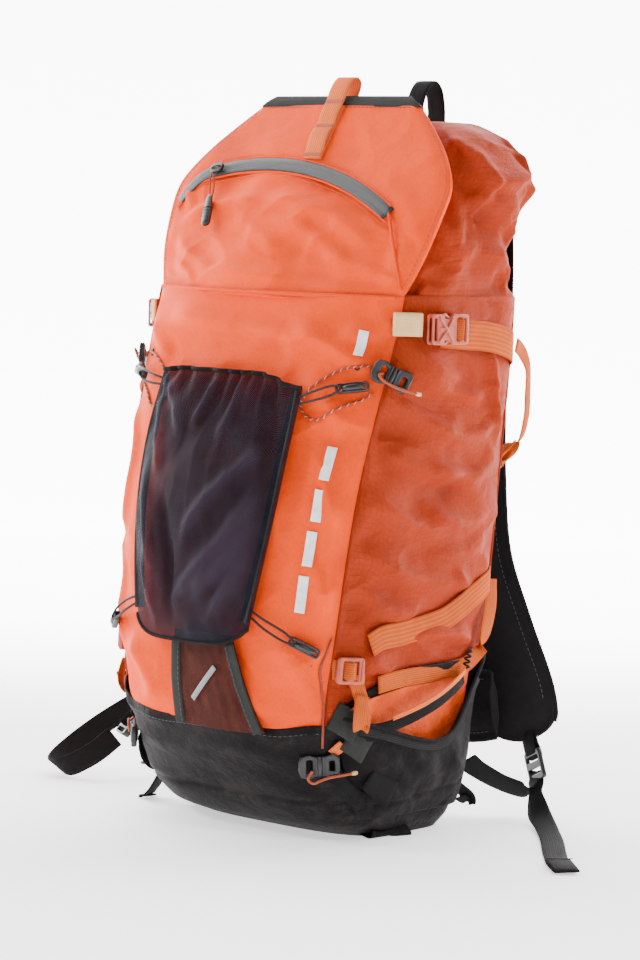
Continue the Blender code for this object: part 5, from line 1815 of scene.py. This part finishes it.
# ---------------------------------------------------------------- pockets and the base's patches
def pocket_point(side, share, b, extra=0.0):
    share, b = np.broadcast_arrays(np.asarray(share, float), np.asarray(b, float))
    height = mix(0.020, along(POCKET_MOUTH, share)[0], b)
    stand_off = 0.014 * np.sin(math.pi * share) ** 0.7 * b**0.8
    angle = side * angle_at(mix(-0.62, 0.84, share))
    return on_shell(angle, height, 0.0036 + stand_off + extra), outward(angle, height), height


def draw_pocket(side, label):
    a, b = grid_shares(110, 90)
    p, face, height = pocket_point(side, a, b)
    x = a * 0.17 + 0 * b
    out = fold(
        x, height, (0.020, 0.075), (0.070, 0.045), 0.008, 0.0026, 0.003
    ) + fold(x, height, (0.060, 0.080), (0.110, 0.040), 0.010, 0.0024, 0.003)
    out += fold(x, height, (0.030, 0.045), (0.080, 0.028), 0.007, 0.0024, 0.0) + fold(
        x, height, (0.120, 0.090), (0.150, 0.035), 0.010, 0.0022, 0.002
    )
    out -= 0.0016 * np.exp(-(((height - 0.036 - 0.2 * (x - 0.085) * 0.3) / 0.0022) ** 2))
    fade = edge_fade(a, b, 0.04, 0.0) * smooth(0.0, 0.06, b)
    p, wave = crumpled(
        p + face * (out * fade)[..., None], face * fade[..., None] * (1 - 0.6 * b[..., None] ** 4), 0.0020,
        34, 17.0 + side
    )
    link(
        grid(f"pocket_cloth_{label}", p, thickness=0.0012, offset=-side, shade=wave + out * 70),
        pocket_cloth, "bag", f"side_pocket_{label}"
    )
    shares = np.linspace(0.02, 0.99, 70)
    rim, _, _ = pocket_point(side, shares, np.full(70, 1.0), 0.0008)
    link(tube(f"pocket_rim_{label}", rim, 0.0017, smooth_points=False), charcoal_cloth, "bag")
    band_line, _, _ = pocket_point(side, shares[4:-3], np.full(63, 0.925), 0.0010)
    link(
        strap(f"pocket_band_{label}", band_line[::3], (0, 0.15, 1), 0.0080, 0.0010, pieces=2), ribbed_band,
        "bag"
    )
    # bright lining on the wall behind the mouth
    la, lb = grid_shares(70, 50)
    t = mix(68.0, 104.0, la) + 0 * lb
    top = np.interp(t, [68, 74, 86, 96, 104], [0.116, 0.122, 0.128, 0.134, 0.137])
    z = mix(0.070, top, lb)
    inner, more = crumpled(
        on_shell(side * t, z, 0.0062 - 0.0012 * edge_fade(la, lb, 0.1, 0.1)), outward(side * t, z), 0.0012,
        50, 33.0 + side, (1, 1, 0.5)
    )
    link(
        grid(f"pocket_lining_{label}", inner, thickness=0.0010, offset=-side, shade=more), lining_cloth,
        "bag"
    )
    # strap across the mouth, its elastic edge and the clip it ends at
    y = np.array([-0.0520, -0.0400, -0.0150, 0.0120, 0.0380, 0.0560])
    height = np.array([0.0980, 0.1010, 0.1090, 0.1180, 0.1270, 0.1320])
    outs = [0.0105, 0.0165, 0.0215, 0.0215, 0.0160, 0.0085]
    points = [on_side(v, h, o, side) for v, h, o in zip(y, height, outs)]
    link(
        strap(f"pocket_strap_{label}", points, (0, -0.3, 1), 0.0105, 0.0015, rough=0.0003), black_web,
        "bag"
    )
    upper = [on_side(v, h + 0.0066, o + 0.0008, side) for v, h, o in zip(y[1:], height[1:], outs[1:])]
    link(
        strap(f"pocket_elastic_{label}", upper, (0, -0.3, 1), 0.0042, 0.0016), pale_web, "bag",
    )
    clip = [
        on_side(
            0.0575 + 0.0006 * math.cos(k), 0.1400 + 0.0016 * (k / 2.2), 0.0090 + 0.0030 * math.sin(k), side
        )
        for k in np.linspace(0, 22, 80)
    ]
    link(
        tube(f"pocket_clip_{label}", np.array(clip), 0.0009, smooth_points=False), black_plastic, "bag",
    )


def patch(
    name, side, label, steps, width, body="bag", material=None, lift=0.0012,
    lifts=None
):
    """Webbing sewn flat to the base or the pocket. steps are shell angles and heights."""
    table = route(steps, 4)
    t, z = side * table[:, 0], table[:, 1]
    faces = outward(t, z)
    under = ("base_fabric", f"pocket_cloth_{label}", f"side_fabric_{label}")
    high = (
        np.interp(np.linspace(0, 1, len(t)), np.linspace(0, 1, len(lifts)), lifts) if lifts
        else np.full(len(t), lift)
    )
    line = eased(resting(on_shell(t, z, 0 * z), faces, under, 0.0), 6) + faces * high[:, None]
    run = np.gradient(line, axis=0)
    return link(
        strap(name, line, np.cross(faces, run), width, 0.0015, pieces=1), material or black_web, body
    )


def draw_base_details(side, label):
    patch(
        f"patch_upper_{label}", side, label,
        [(60.5, 0.1120), (64.0, 0.1085), (68.0, 0.1030), (71.0, 0.0985)], 0.0240, material=grey_tape,
    )
    patch(
        f"patch_corner_{label}", side, label, [(66.0, 0.0930), (70.0, 0.0870), (74.0, 0.0800)], 0.0220,
        material=grey_tape
    )
    patch(
        f"patch_tab_{label}", side, label, [(59.0, 0.0790), (61.5, 0.0835), (64.0, 0.0875)], 0.0095,
        material=pale_web, lifts=[0.0016, 0.0040, 0.0026]
    )
    patch(
        f"base_loop_{label}", side, label,
        [(55.5, 0.0670), (57.0, 0.0570), (60.0, 0.0480), (64.5, 0.0410), (69.0, 0.0375)], 0.0150,
        lifts=[0.0012, 0.0040, 0.0048, 0.0036, 0.0012]
    )
    patch(f"base_patch_{label}", side, label, [(74.0, 0.0600), (78.0, 0.0500), (82.5, 0.0400)], 0.0260)
    # tab at the back corner
    tab = np.array(
        [
            (side * x, y, z) for x, y,
            z in (
                (0.0960, 0.0985, 0.0300), (0.1010, 0.1075, 0.0215), (0.1010, 0.1100, 0.0150),
                (0.0965, 0.1040, 0.0190)
            )
        ]
    )
    link(strap(f"back_tab_{label}", tab, (1, 0.1, 0.1), 0.0160), black_web, "bag")


def draw_under_loop():
    """Webbing loop sewn under the base at its front right corner."""
    loop = [
        (0.0880, -0.0020, 0.0085), (0.0980, -0.0040, 0.0036), (0.1075, -0.0050, 0.0014),
        (0.1085, -0.0045, 0.0036), (0.1010, -0.0030, 0.0085)
    ]
    link(
        strap("under_loop", np.array(loop), (0.28, 0.95, 0), 0.0440, 0.0014), black_web, "bag",
    )


# ---------------------------------------------------------------- padded pieces
def quilted(name, points, sides, widths, thick, pieces=6, seam=0.0100, rounded_end=True):
    """A padded strip: a closed shell, thin at its bound edges and full between its rows of stitches."""
    p = route(points, pieces)
    run = unit(np.gradient(p, axis=0))
    side = np.asarray(sides, float)
    side = np.broadcast_to(side, p.shape) if side.ndim == 1 else route(side, pieces)
    side = side - run * (side * run).sum(1, keepdims=True)
    side = unit(side)
    face = np.cross(side, run)
    width = route(np.c_[np.asarray(widths, float), np.zeros(len(widths))], pieces)[:, 0]
    length = np.r_[0, np.cumsum(np.linalg.norm(np.diff(p, axis=0), axis=1))]
    ends = np.minimum(length, length[-1] - length) if rounded_end == "both" else (
        length[-1] - length if rounded_end else np.full(len(p), 1.0)
    )
    corner = np.clip(ends / 0.020, 0, 1)
    width = width * np.sqrt(np.clip(1 - (1 - corner) ** 2, 0.02, 1))
    s = np.sin(np.linspace(-math.pi / 2, math.pi / 2, 19))
    ring = [(v, 1) for v in s] + [(v, -1) for v in s[-2:0:-1]]
    rows = []
    for v, sign in ring:
        edge = (1 - abs(v)) * width / 2
        inner = np.minimum(edge, ends)
        high = (
            thick / 2 * (
                0.34 * np.sqrt(np.clip(inner / 0.0018, 0, 1))
                + 0.66 * smooth(seam * 0.75, seam + 0.011, inner)
            )
            - 0.0007 * np.exp(-(((inner - seam) / 0.0014) ** 2))
        )
        rows.append(p + side * (width / 2 * v)[:, None] + face * (high * sign)[:, None])
    obj = grid(name, np.stack(rows, 1), closed=True)
    cap(obj)
    return obj, p, side, face, width


def swelled(obj, seams, flat_uv=None, pressure=4.0, size=None, most=0.0026):
    """A cloth simulation: air pressure fills the piece between its stitched rows, which stay put."""
    scene = bpy.context.scene
    if size:
        remesh = obj.modifiers.new("remesh", "REMESH")
        remesh.mode, remesh.voxel_size, remesh.use_smooth_shade = "VOXEL", size, True
        bpy.context.view_layer.update()
        obj.data = bpy.data.meshes.new_from_object(obj.evaluated_get(bpy.context.evaluated_depsgraph_get()))
        obj.modifiers.clear()
    mesh = obj.data
    rest = np.array([v.co for v in mesh.vertices])
    held = obj.vertex_groups.new(name="held")
    for i in np.flatnonzero(seams(rest)):
        held.add([int(i)], 1.0, "REPLACE")
    sewn = obj.modifiers.new("cloth", "CLOTH")
    s = sewn.settings
    s.quality, s.mass, s.air_damping = 5, 0.15, 2
    s.tension_stiffness = s.compression_stiffness = 12
    s.shear_stiffness, s.bending_stiffness = 6, 0.3
    s.use_pressure, s.uniform_pressure_force = True, pressure
    s.vertex_group_mass = "held"
    s.effector_weights.gravity = 0
    sewn.point_cache.frame_start, sewn.point_cache.frame_end = 1, 20
    for frame_number in range(1, 21):
        scene.frame_set(frame_number)
    moved = obj.evaluated_get(bpy.context.evaluated_depsgraph_get())
    after = np.array([v.co for v in moved.data.vertices])
    obj.modifiers.clear()
    obj.vertex_groups.clear()
    scene.frame_set(1)
    if len(after) == len(rest) and np.isfinite(after).all():
        step = after - rest
        size_of = np.linalg.norm(step, axis=1, keepdims=True)
        after = rest + step * np.minimum(1, most / np.maximum(size_of, 1e-9))
        mesh.vertices.foreach_set("co", after.reshape(-1))
    if flat_uv:
        layer = mesh.uv_layers.new(name="UVMap")
        where = np.empty(len(mesh.loops), np.int64)
        mesh.loops.foreach_get("vertex_index", where)
        layer.data.foreach_set("uv", flat_uv(rest)[where].reshape(-1).astype(np.float32))
    mesh.update()
    mesh.shade_smooth()
    even = obj.modifiers.new("smooth", "SUBSURF")
    even.levels = even.render_levels = 1
    return obj


def stitched_rows(p, side, width, seam):
    """A test for the points of a padded strip that lie on its bound edges or its stitched rows."""

    def seams(points):
        i = np.array([int(np.argmin(((p - q) ** 2).sum(1))) for q in points])
        edge = width[i] / 2 - np.abs(((points - p[i]) * side[i]).sum(1))
        return (np.abs(edge - seam) < 0.0020) | (edge < 0.0030)

    return seams


def border_stitch(name, body, p, side, face, width, inset, thick, low=2, high=-2):
    for k, s in (("a", 1), ("b", -1)):
        for m, f in (("front", 1), ("back", -1)):
            edge = width[low:high] / 2 - inset
            keep = edge > 0.004
            line = (
                p[low:high][keep] + side[low:high][keep] * (s * edge[keep])[:, None]
                + face[low:high][keep] * (f * thick)
            )
            if len(line) > 4:
                stitches(f"{name}_{k}_{m}", line, body, dark_thread, 0.0030, 0.0018, 0.00042)


SHOULDER_ROUTE = [
    (0.044, 0.1205, 0.4960), (0.045, 0.1400, 0.5070), (0.047, 0.1580, 0.4940), (0.0485, 0.1660, 0.4500),
    (0.0490, 0.1690, 0.3800), (0.0500, 0.1690, 0.3000), (0.0570, 0.1690, 0.2200), (0.0810, 0.1680, 0.1550),
    (0.1080, 0.1660, 0.1000), (0.1210, 0.1630, 0.0640)
]
SHOULDER_WIDTHS = [0.050, 0.056, 0.060, 0.062, 0.062, 0.062, 0.064, 0.068, 0.068, 0.058]


def draw_shoulder(side, label):
    body = f"shoulder_{label}"
    points = [(side * x, y, z) for x, y, z in SHOULDER_ROUTE]
    twist = [math.radians(24) * max(0.0, i / 9 - 0.45) / 0.55 for i in range(10)]
    sides = np.array([(math.cos(t), side * math.sin(t), 0) for t in twist])
    obj, p, across, face, width = quilted(f"shoulder_pad_{label}", points, sides, SHOULDER_WIDTHS, 0.0120, 7)
    swelled(obj, stitched_rows(p, across, width, 0.0100))
    link(obj, charcoal_cloth, body, f"shoulder_strap_{label}")
    border_stitch(f"shoulder_stitch_{label}", body, p, across, face, width, 0.0100, 0.0026, 6, -6)
    for name, s in (("inner", -1), ("outer", 1)):
        edge = p + across * (s * (width / 2 - 0.0004))[:, None]
        link(
            tube(f"shoulder_binding_{name}_{label}", edge[1:-3], 0.0019, smooth_points=False),
            charcoal_cloth, body
        )
    # ladder lock and the webbing that holds it to the strap
    up = np.array([side * -0.42, 0.10, 1.0])
    up /= np.linalg.norm(up)
    out = np.array([side * 0.45, 1, 0])
    run, cross_way, out = frame_of(up, out)
    place = np.array([side * 0.1340, 0.1610, 0.0450])
    where = placed(run, out, place)
    lock = moulded(
        "lock",
        [
            rounded(0.0265, 0.0275, 0.0030), rounded(0.0048, 0.0200, 0.0012, (0.0060, 0)),
            rounded(0.0048, 0.0200, 0.0012, (-0.0050, 0))
        ],
        0.0036, where, 0.0010
    )
    bars = [
        lathe(
            "bar", [place + run * d + cross_way * w + out * 0.0014 for w in (-0.0108, 0, 0.0108)],
            [0.0014] * 3, up=out
        )
        for d in (0.0006, 0.0112, -0.0108)
    ]
    link(
        join(f"shoulder_lock_{label}", lock, *bars), black_plastic, body,
        f"shoulder_adjuster_{label}"
    )
    hold = [
        place + run * 0.0290 - out * 0.0015, place + run * 0.0160 - out * 0.0020,
        place + run * 0.0085 - out * 0.0006, place + run * 0.0062 + out * 0.0034,
        place + run * 0.0110 + out * 0.0040, place + run * 0.0180 + out * 0.0026,
        place + run * 0.0260 + out * 0.0018
    ]
    link(strap(f"lock_holder_{label}", hold, cross_way, 0.0190, 0.0014), black_web, body)


def draw_shoulder_webbing(side, label):
    steps = [
        (0.0960, 0.1120, 0.0500), (0.0985, 0.1230, 0.0420), (0.1080, 0.1400, 0.0310),
        (0.1200, 0.1490, 0.0255), (0.1310, 0.1550, 0.0240), (0.1345, 0.1600, 0.0330),
        (0.1350, 0.1620, 0.0400)
    ]
    sides = np.array(
        [(side * 0.45, -0.35, 0.80)] * 4 + [
            (side * 0.62, -0.30, 0.55), (side * 0.85, -0.35, 0.30), (side * 0.90, -0.36, 0.30)
        ]
    )
    points = np.array(steps) * np.array([side, 1, 1])
    lower = strap(f"lower_shoulder_webbing_{label}", points, sides, 0.0200, 0.0015)
    lower.data.materials.append(black_web)
    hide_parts(f"shoulder_webbing_{label}")
    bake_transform(lower)
    if side > 0:
        tail = [
            (0.1352, 0.1610, 0.0395), (0.1385, 0.1580, 0.0300), (0.1430, 0.1500, 0.0190),
            (0.1600, 0.1345, 0.0092), (0.1850, 0.1120, 0.0036), (0.2150, 0.0800, 0.0014),
            (0.2480, 0.0400, 0.0012), (0.2760, 0.0080, 0.0012), (0.2960, -0.0100, 0.0014)
        ]
        sides = np.array(
            [
                (0.85, -0.3, 0.3), (0.75, -0.1, 0.5), (0.60, 0.10, 0.70), (0.70, 0.50, 0.35),
                (0.75, 0.66, 0.05), (0.75, 0.66, 0), (0.78, 0.62, 0), (0.72, 0.69, 0), (0.68, 0.73, 0)
            ]
        )
    else:
        tail = [
            (0.1352, 0.1610, 0.0395), (0.1390, 0.1590, 0.0300), (0.1400, 0.1560, 0.0200),
            (0.1370, 0.1500, 0.0100), (0.1320, 0.1420, 0.0040)
        ]
        sides = np.array(
            [(0.85, -0.3, 0.3), (0.85, -0.3, 0.3), (0.9, -0.3, 0.1), (0.9, -0.4, 0.1), (0.9, -0.4, 0.0)]
        )
    points = np.array(tail) * np.array([side, 1, 1])
    sides = sides * np.array([side, 1, 1])
    loose = strap(f"spare_webbing_{label}", points, sides, 0.0200, 0.0015, rough=0.0004)
    loose.data.materials.append(black_web)
    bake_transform(loose)
    if side > 0:
        end = [
            (0.2700, 0.0150, 0.0034), (0.2790, 0.0055, 0.0044), (0.2900, -0.0050, 0.0046),
            (0.3000, -0.0135, 0.0036), (0.3010, -0.0142, 0.0020)
        ]
        link(
            strap("spare_webbing_fold", np.array(end), (0.70, 0.71, 0), 0.0204, 0.0020), black_web, "bag",
        )
        lines = [
            np.array(
                [
                    (0.2712 + 0.0075 * s, 0.0136 + 0.0072 * s + 0.0006 * k, 0.0048 + 0.0001 * k)
                    for s in (-1, 0, 1)
                ]
            ) + np.array([0.0007 * k, -0.0007 * k, 0])
            for k in range(4)
        ]
        link(
            tube("spare_webbing_tack", lines, 0.0004, pieces=1, resolution=1), dark_thread, "bag",
        )


def draw_sternum(side, label):
    body = f"sternum_{label}"
    x = side * 0.0145
    points = [
        (x, 0.1792, 0.3360), (x, 0.1797, 0.3250), (x, 0.1800, 0.3000), (x, 0.1800, 0.2750),
        (x, 0.1800, 0.2560)
    ]
    link(
        strap(f"sternum_webbing_{label}", points, (1, 0, 0), 0.0150, 0.0015, rough=0.0004), black_web, body,
        f"sternum_strap_{label}"
    )
    half = "plug" if side > 0 else "socket"
    place = np.array([x, 0.1800, 0.2440])
    where = placed((0, 0, 1), (0, 1, 0), place)
    outline = rounded(0.0220, 0.0180, 0.0030)
    holes = [rounded(0.0032, 0.0120, 0.0010, (0.0072, 0))]
    if half == "plug":
        body_mesh = moulded(
            "plug",
            [
                outline, *holes, rounded(0.0070, 0.0026, 0.0010, (-0.0055, 0.0036)),
                rounded(0.0070, 0.0026, 0.0010, (-0.0055, -0.0036))
            ],
            0.0054, where, 0.0012
        )
    else:
        body_mesh = moulded(
            "socket", [outline, *holes, rounded(0.0080, 0.0050, 0.0016, (-0.0040, 0))], 0.0066, where,
            0.0012
        )
    link(body_mesh, black_plastic, body, f"sternum_buckle_{half}")


def box_pad(name, centre, size, columns=26):
    """A flat pad, rounded at its corners and fuller in the middle, its face towards +Y."""
    width, thick, height = size
    turn = np.linspace(0, 2 * math.pi, columns * 2, endpoint=False)
    shapes = []
    levels = [
        (-1.0, 0.90), (-0.9, 0.97), (-0.5, 1.0), (0.0, 1.0), (0.45, 0.985), (0.8, 0.94), (0.96, 0.84),
        (1.0, 0.60), (1.04, 0.30), (1.05, 0.02)
    ]
    for level, k in levels:
        ring = np.stack([power(np.cos(turn), 0.35) * width / 2, power(np.sin(turn), 0.35) * height / 2], 1)
        shrink = (
            np.array([1 - (1 - k) * min(1.0, height / width), 1 - (1 - k) * min(1.0, width / height)])
            if k > 0.5 else np.array([k, k])
        )
        shapes.append(
            np.stack(
                [
                    centre[0] + ring[:, 0] * shrink[0], np.full(len(turn), centre[1] + thick / 2 * level),
                    centre[2] + ring[:, 1] * shrink[1]
                ],
                1
            )
        )
    obj = grid(name, np.stack(shapes), closed=True)
    cap(obj)
    return obj


def draw_back_pads():
    for side, label in SIDES:
        centre, size = (side * 0.046, 0.1194, 0.310), (0.060, 0.0104, 0.290)
        obj = box_pad(f"back_pad_cover_{label}", centre, size)
        grooves = [centre[2] + d for d in (-0.0725, 0.0, 0.0725)]

        def seams(points, centre=centre, size=size, grooves=grooves):
            rim = (
                np.maximum(
                    np.abs(points[:, 0] - centre[0]) - size[0] / 2,
                    np.abs(points[:, 2] - centre[2]) - size[2] / 2
                ) > -0.006
            )
            return (
                rim | (np.abs(points[:, 2:3] - np.array(grooves)).min(1) < 0.0035)
                | (points[:, 1] < centre[1])
            )

        swelled(obj, seams, lambda points: points[:, [0, 2]], 5.0, 0.0045, 0.0022)
        link(obj, spacer_mesh, "bag", f"back_pad_{label}")
    centre, size = (0, 0.1204, 0.108), (0.190, 0.0124, 0.075)
    obj = box_pad("lumbar_cover", centre, size)

    def rim(points):
        edge = (
            np.maximum(
                np.abs(points[:, 0]) - size[0] / 2, np.abs(points[:, 2] - centre[2]) - size[2] / 2
            ) > -0.008
        )
        return edge | (np.abs(np.abs(points[:, 0]) - 0.032) < 0.0030) | (points[:, 1] < centre[1])

    swelled(obj, rim, lambda points: points[:, [0, 2]], 5.0, 0.0045, 0.0026)
    link(obj, spacer_mesh, "bag", "lumbar_pad")


def draw_hip(side, label):
    body = f"hip_{label}"
    direction = np.array([-1, -0.06, 0]) if side < 0 else np.array([-1, 0.10, 0])
    direction = direction / np.linalg.norm(direction)
    reach = 0.118 if side < 0 else 0.105
    run = direction + np.array([0, 0, -0.16])
    run /= np.linalg.norm(run)
    start = np.array([side * 0.112, 0.1345, 0.0980])
    points = [start + run * (reach * t) for t in (0.04, 0.25, 0.55, 0.80, 1.0)]
    obj, p, across, face, width = quilted(
        f"hip_pad_{label}", points, (0, 0, 1), [0.060, 0.064, 0.062, 0.050, 0.034], 0.0096, 9, 0.0085
    )
    swelled(obj, stitched_rows(p, across, width, 0.0085), most=0.0018)
    link(obj, charcoal_cloth, body, f"hip_fin_{label}")
    border_stitch(f"hip_stitch_{label}", body, p, across, face, width, 0.0085, 0.0022, 4, -4)
    end = start + run * reach
    if side > 0:
        place = end + run * 0.0180
        where = placed((1, 0, 0), (0, 1, 0), place)
        socket = moulded(
            "socket",
            [
                rounded(0.0320, 0.0260, 0.0040), rounded(0.0036, 0.0180, 0.0010, (0.0105, 0)),
                rounded(0.0090, 0.0150, 0.0030, (-0.0050, 0))
            ],
            0.0078, where, 0.0016
        )
        ribs = [
            lathe(
                "rib", [place + np.array([d, 0.0036, w]) for w in (-0.0095, 0, 0.0095)], [0.0010] * 3,
                up=(0, 1, 0)
            )
            for d in (0.0040, 0.0064)
        ]
        link(
            join("hip_socket_body", socket, *ribs), black_plastic, body,
            "hip_buckle_socket"
        )
        return
    loop = [
        end - run * 0.0060 + np.array([0, -0.0020, 0]), end + run * 0.0020, (-0.2460, 0.1080, 0.0740),
        (-0.2660, 0.0800, 0.0600), (-0.2840, 0.0450, 0.0380), (-0.2900, 0.0080, 0.0170),
        (-0.2800, -0.0150, 0.0088), (-0.2600, -0.0210, 0.0100), (-0.2440, -0.0040, 0.0220),
        (-0.2360, 0.0160, 0.0370)
    ]
    link(
        strap(
            "hip_webbing", np.array([np.asarray(q, float) for q in loop]), (-0.55, -0.55, 0.62), 0.0200,
            0.0016, rough=0.0004
        ),
        black_web, body, "hip_webbing_left"
    )
    turn = (
        Matrix.Translation((-0.2300, 0.0310, 0.0500)) @ Matrix.Rotation(math.radians(-28), 4, "Z")
        @ Matrix.Rotation(math.radians(52), 4, "X")
    )
    base = moulded(
        "plug",
        [
            rounded(0.0240, 0.0150, 0.0030, (0, -0.0072)), rounded(0.0180, 0.0036, 0.0010, (0, -0.0110)),
            rounded(0.0180, 0.0030, 0.0010, (0, -0.0044))
        ],
        0.0070, turn, 0.0014
    )
    prongs = [
        moulded("prong", [rounded(0.0040, 0.0150, 0.0016, (s * 0.0090, 0.0074))], 0.0056, turn, 0.0012)
        for s in (-1, 1)
    ]
    middle = moulded("middle", [rounded(0.0050, 0.0130, 0.0018, (0, 0.0060))], 0.0044, turn, 0.0012)
    link(
        join("hip_plug_body", base, middle, *prongs), black_plastic, body,
        "hip_buckle_plug"
    )
    # spare end of the belt and the thin cord that tidies it
    spare = [
        (-0.2330, 0.0270, 0.0440), (-0.2290, 0.0360, 0.0520), (-0.2240, 0.0420, 0.0640),
        (-0.2300, 0.0460, 0.0780), (-0.2420, 0.0440, 0.0860), (-0.2540, 0.0380, 0.0840)
    ]
    link(
        strap("hip_spare_webbing", np.array(spare), (-0.55, -0.55, 0.62), 0.0190, 0.0015, rough=0.0005),
        black_web, body
    )
    line = route(
        [
            (-0.2215, 0.0330, 0.0500), (-0.2140, 0.0330, 0.0410), (-0.2085, 0.0330, 0.0310),
            (-0.2090, 0.0340, 0.0210), (-0.2150, 0.0360, 0.0140), (-0.2230, 0.0390, 0.0120)
        ],
        4
    )
    rope = lash_cord("hip_cord", line, body, elastic_black, 0.0028)


def draw_floor_strap():
    points = [
        (-0.1060, -0.0420, 0.0420), (-0.1190, -0.0390, 0.0300), (-0.1330, -0.0360, 0.0130),
        (-0.1440, -0.0330, 0.0040), (-0.1475, -0.0325, 0.0024), (-0.1440, -0.0325, 0.0018)
    ]
    link(
        strap("base_strap_end", np.array(points), (0.30, -0.90, 0), 0.0200, 0.0015), black_web, "bag",
    )


def draw_frame():
    for node, material in (("frame_sheet", board), ("frame_stay", stay_metal)):
        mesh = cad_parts[node].data
        mesh.materials.clear()
        mesh.materials.append(material)


reflective = plastic("reflective_film", (0.20, 0.21, 0.22), 0.32, scuff=0.1)
white_print = plastic("white_print", (0.86, 0.86, 0.86), 0.5, scuff=0.0)
board = plastic("frame_board", (0.10, 0.10, 0.10), 0.5)
ribbed_band = webbing("ribbed_band", (0.030, 0.030, 0.031), rib=0.0016, dark=0.45, width=0.009)
stay_metal = plastic("stay_metal", (0.55, 0.55, 0.56), 0.4)
stay_metal.node_tree.nodes["Principled BSDF"].inputs["Metallic"].default_value = 1.0
cream_thread = plastic("cream_thread", (0.75, 0.45, 0.2), 0.7, scuff=0.0)
draw_base()
draw_front()
draw_back()
draw_collar()
draw_lid()
draw_slider()
draw_haul_loop()
draw_under_loop()
draw_back_pads()
draw_floor_strap()
draw_frame()
for side, label in SIDES:
    draw_side(side, label)
    draw_side_buckle(side, label)
    draw_side_straps(side, label)
    draw_strap_adjuster(side, label)
    draw_pocket(side, label)
    draw_base_details(side, label)
    draw_shoulder(side, label)
    draw_shoulder_webbing(side, label)
    draw_sternum(side, label)
    draw_hip(side, label)
draw_cords()
draw_tongue()
draw_print()
draw_net()
draw_hooks()
draw_keepers()
